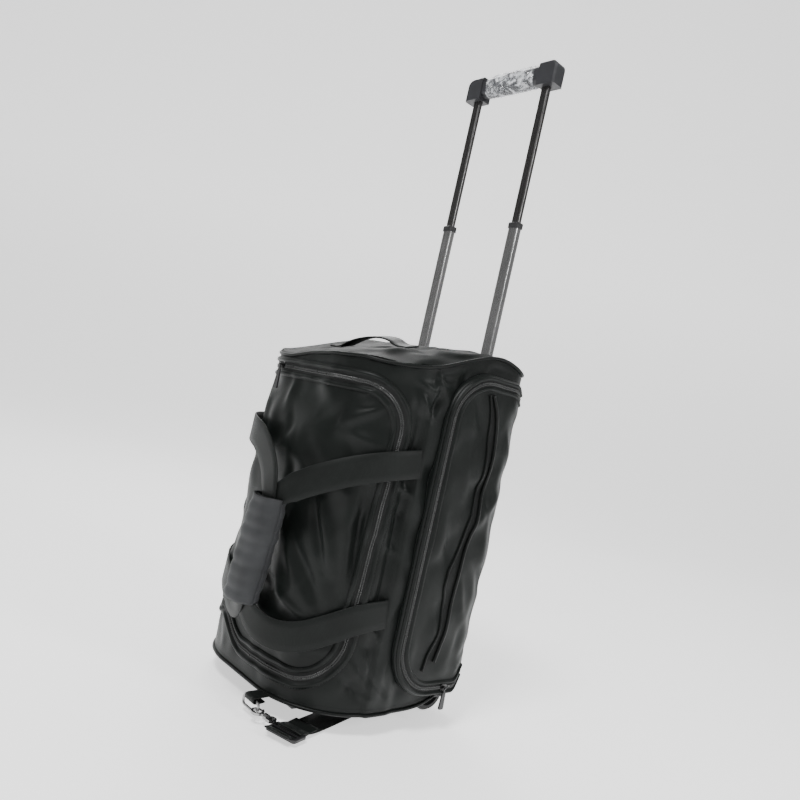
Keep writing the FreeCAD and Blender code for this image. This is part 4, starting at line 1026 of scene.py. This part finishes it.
def top_strap():
    """The grab handle over the top end."""
    low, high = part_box("top_handle")
    y = (low.y + high.y) / 2 - MID[1]
    flat = curve_through([(-86, 0), (-62, 0), (-46, 8), (-24, 12), (24, 12), (46, 8), (62, 0), (86, 0)], 4)
    x, rise = flat[:, 0] * MM, flat[:, 1] * MM
    z = top_height(x, np.full_like(x, y)) + rise + 7 * MM
    line = np.stack([MID[0] + x, np.full_like(x, MID[1] + y), z], axis=1)
    made = bag_strap("grab_handle", line, [0, 1, 0.27], 25 * MM, 2.4 * MM)
    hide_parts("top_handle")


def strap_direction():
    """Where the strap starts, its level direction towards the back and its width direction."""
    low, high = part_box("strap_slider")
    start = (low + high) / 2
    ring_low, ring_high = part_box("upper_ring")
    end = (ring_low + ring_high) / 2
    ahead = np.array([end.x - start.x, end.y - start.y, 0])
    ahead /= np.linalg.norm(ahead)
    return np.array([start.x, start.y, 0]), ahead, np.array([ahead[1], -ahead[0], 0])


def shoulder_strap():
    """The stowed shoulder strap: out of its slider, under the bag and up the back to its hook."""
    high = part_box("shoulder_strap")[1]
    start, ahead, across = strap_direction()
    reach = (high.y - start[1]) / ahead[1] / MM
    flat = curve_through([(4, 10), (14, 9), (34, 3.6), (70, 3.2), (120, 3.8), (180, 3.4), (250, 4.2),
                          (reach - 14, 4.2), (reach - 4, 6), (reach - 1, 20), (reach - 2, 60),
                          (reach - 5, 160), (reach - 3, 300), (reach - 4, high.z / MM)], 4)

    def upright(route):
        return start + ahead * (route[:, :1] * MM) + np.array([0, 0, MM]) * route[:, 1:]
    made = bag_strap("strap_webbing", upright(flat), across, 38 * MM, 1.9 * MM)
    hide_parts("shoulder_strap")
    tail = curve_through([(-22, 13), (-14, 12), (-2, 5), (12, 4), (30, 6.6), (44, 7)], 3)
    bag_strap("strap_tail", upright(tail), across, 37 * MM, 1.8 * MM)


def ring_tabs():
    """Folded webbing that holds the two strap rings."""
    fold = [(20, 5), (10, 4), (-3.4, 4), (-4.2, 0), (-3.4, -4), (9, -3.4), (14, -2)]
    for which, inward in (("lower", 1), ("upper", -1)):
        low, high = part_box(which + "_ring_tab")
        ring_low, ring_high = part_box(which + "_ring")
        y = (ring_low.y + ring_high.y) / 2
        bar = ring_high.z - 1.8 * MM
        route = curve_through([(y + inward * u * MM, bar + v * MM) for u, v in fold], 1 * MM)
        line = np.stack([np.full(len(route), (low.x + high.x) / 2), route[:, 0], route[:, 1]], axis=1)
        made = bag_strap(which + "_tab_webbing", line, [1.0, 0, 0], 22 * MM, 1.2 * MM)
        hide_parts(which + "_ring_tab")


# ---- seams and stitching

def seam_lines():
    """Top-stitching beside the gusset seam, under both rims and across the gusset."""
    routes = {
        "seam_thread_gusset": [(SEAM + 4 * MM, 52 * MM), (SEAM + 4 * MM, 478 * MM)],
        "seam_thread_cross_high": [(SEAM + 4 * MM, 348 * MM), (S_SIDE + 24 * MM, 348 * MM)],
        "seam_thread_cross_low": [(SEAM + 4 * MM, 225 * MM), (S_SIDE + 24 * MM, 225 * MM)],
    }
    routes = {name: resample(ends_at, 4 * MM) for name, ends_at in routes.items()}
    s = np.arange(-S_BACK + 60 * MM, S_BACK - 60 * MM, 4 * MM)
    top, low = rim_heights(s)
    routes["rim_thread_top"] = np.stack([s, top - 7 * MM], axis=1)
    routes["rim_thread_base"] = np.stack([s, low + 7 * MM], axis=1)
    for name, route in routes.items():
        made = stitches(name, route, 0.0, lambda u, v, high: wall(u, v, high + 0.35 * MM))
        belongs(made, "bag")


# ---- film, floor, light, camera

def film():
    """Crinkled wrapping round the grip's middle."""
    low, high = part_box("grip_film")
    centre = (low + high) / 2
    half_y, half_z = (high.y - low.y) / 2, (high.z - low.z) / 2
    rows, around = 90, 64
    points = []
    for i in range(rows):
        x = low.x + (high.x - low.x) * i / (rows - 1)
        for k in range(around):
            a = math.tau * k / around
            c, n = rounded(a, 4)
            wobble = math.sin(i * 1.9 + 3 * math.sin(k * 0.9)) * math.sin(k * 1.3 + i * 0.37)
            grow = 0.97 * (1 + 0.045 * wobble)
            points.append((x, centre.y + half_y * c * grow, centre.z + half_z * n * grow))
    faces = grid_faces(rows, around, flip=True, wrap=True)
    made = make_mesh("film_wrap", points, faces, [LOOKS["clear_film"]])
    made.data.shade_flat()
    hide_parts("grip_film")
    belongs(made, "upper_stage")


LOOK_TURN = math.radians(47.95)
LOOK_UP = math.radians(91.10)
LOOK_ROLL = math.radians(12.75)
EYE = (0.83903, -0.70381, 0.42194)


def backdrop():
    """A pale sheet that lies under the bag and rises behind it."""
    ahead = np.array([-math.sin(LOOK_TURN), math.cos(LOOK_TURN), 0])
    side = np.array([ahead[1], -ahead[0], 0])
    far, radius = 2.2, 1.6
    profile = [(-6, 0), (-2, 0), (0, 0), (far, 0)]
    for k in range(1, 13):
        a = math.pi / 2 * k / 12
        profile.append((far + radius * math.sin(a), radius * (1 - math.cos(a))))
    profile.append((far + radius, 6))
    points = [ahead * d + side * w + np.array([0, 0, z]) for d, z in profile for w in (-8, 8)]
    faces = [(2 * i, 2 * i + 1, 2 * i + 3, 2 * i + 2) for i in range(len(profile) - 1)]
    material, tree, bsdf, _ = new_material("floor")
    fill(tree, bsdf, {"Base Color": (0.9, 0.9, 0.9, 1), "Roughness": 0.8,
                      "Emission Color": (1, 1, 1, 1), "Emission Strength": 0.9})
    make_mesh("floor", points, faces, [material])


def studio():
    """Soft lights round the bag."""
    world_look = bpy.data.worlds.new("studio")
    bpy.context.scene.world = world_look
    world_look.use_nodes = True
    background = world_look.node_tree.nodes["Background"]
    background.inputs["Color"].default_value = (1, 1, 1, 1)
    background.inputs["Strength"].default_value = 0.3
    aim = Vector((0.03, -0.02, 0.4))
    for name, place, size, power in (
            ("key", (0.5, -1.2, 2.2), 0.6, 52), ("side", (2.4, 0.7, 1.5), 0.6, 30),
            ("rim", (-1.6, 0.9, 1.9), 0.9, 20)):
        lamp = bpy.data.lights.new(name, "AREA")
        lamp.size, lamp.energy = size, power
        holder = bpy.data.objects.new(name, lamp)
        holder.location = place
        holder.rotation_euler = (aim - Vector(place)).to_track_quat("-Z", "Y").to_euler()
        bpy.context.scene.collection.objects.link(holder)


def camera():
    """The photograph's view, from a little above the bag's middle and rolled to one side."""
    lens = bpy.data.cameras.new("camera")
    lens.lens, lens.sensor_width = 33.31, 36
    lens.clip_start = 0.05
    eye = bpy.data.objects.new("camera", lens)
    turn = (Matrix.Rotation(LOOK_TURN, 4, "Z") @ Matrix.Rotation(LOOK_UP, 4, "X")
            @ Matrix.Rotation(LOOK_ROLL, 4, "Z"))
    eye.matrix_world = Matrix.Translation(EYE) @ turn
    bpy.context.scene.collection.objects.link(eye)
    bpy.context.scene.camera = eye


paint_frame()
bag_wall()
flap_cloth()
ends()
rims()
main_zip()
pocket_cloth()
pocket_side()
pocket_zip()
pocket_placket()
handle("near_strap", "near_handle_webbing", NEAR_PATH)
handle("far_strap", "far_handle_webbing", FAR_PATH)
cuff()
top_strap()
shoulder_strap()
ring_tabs()
seam_lines()
film()
backdrop()
studio()
camera()
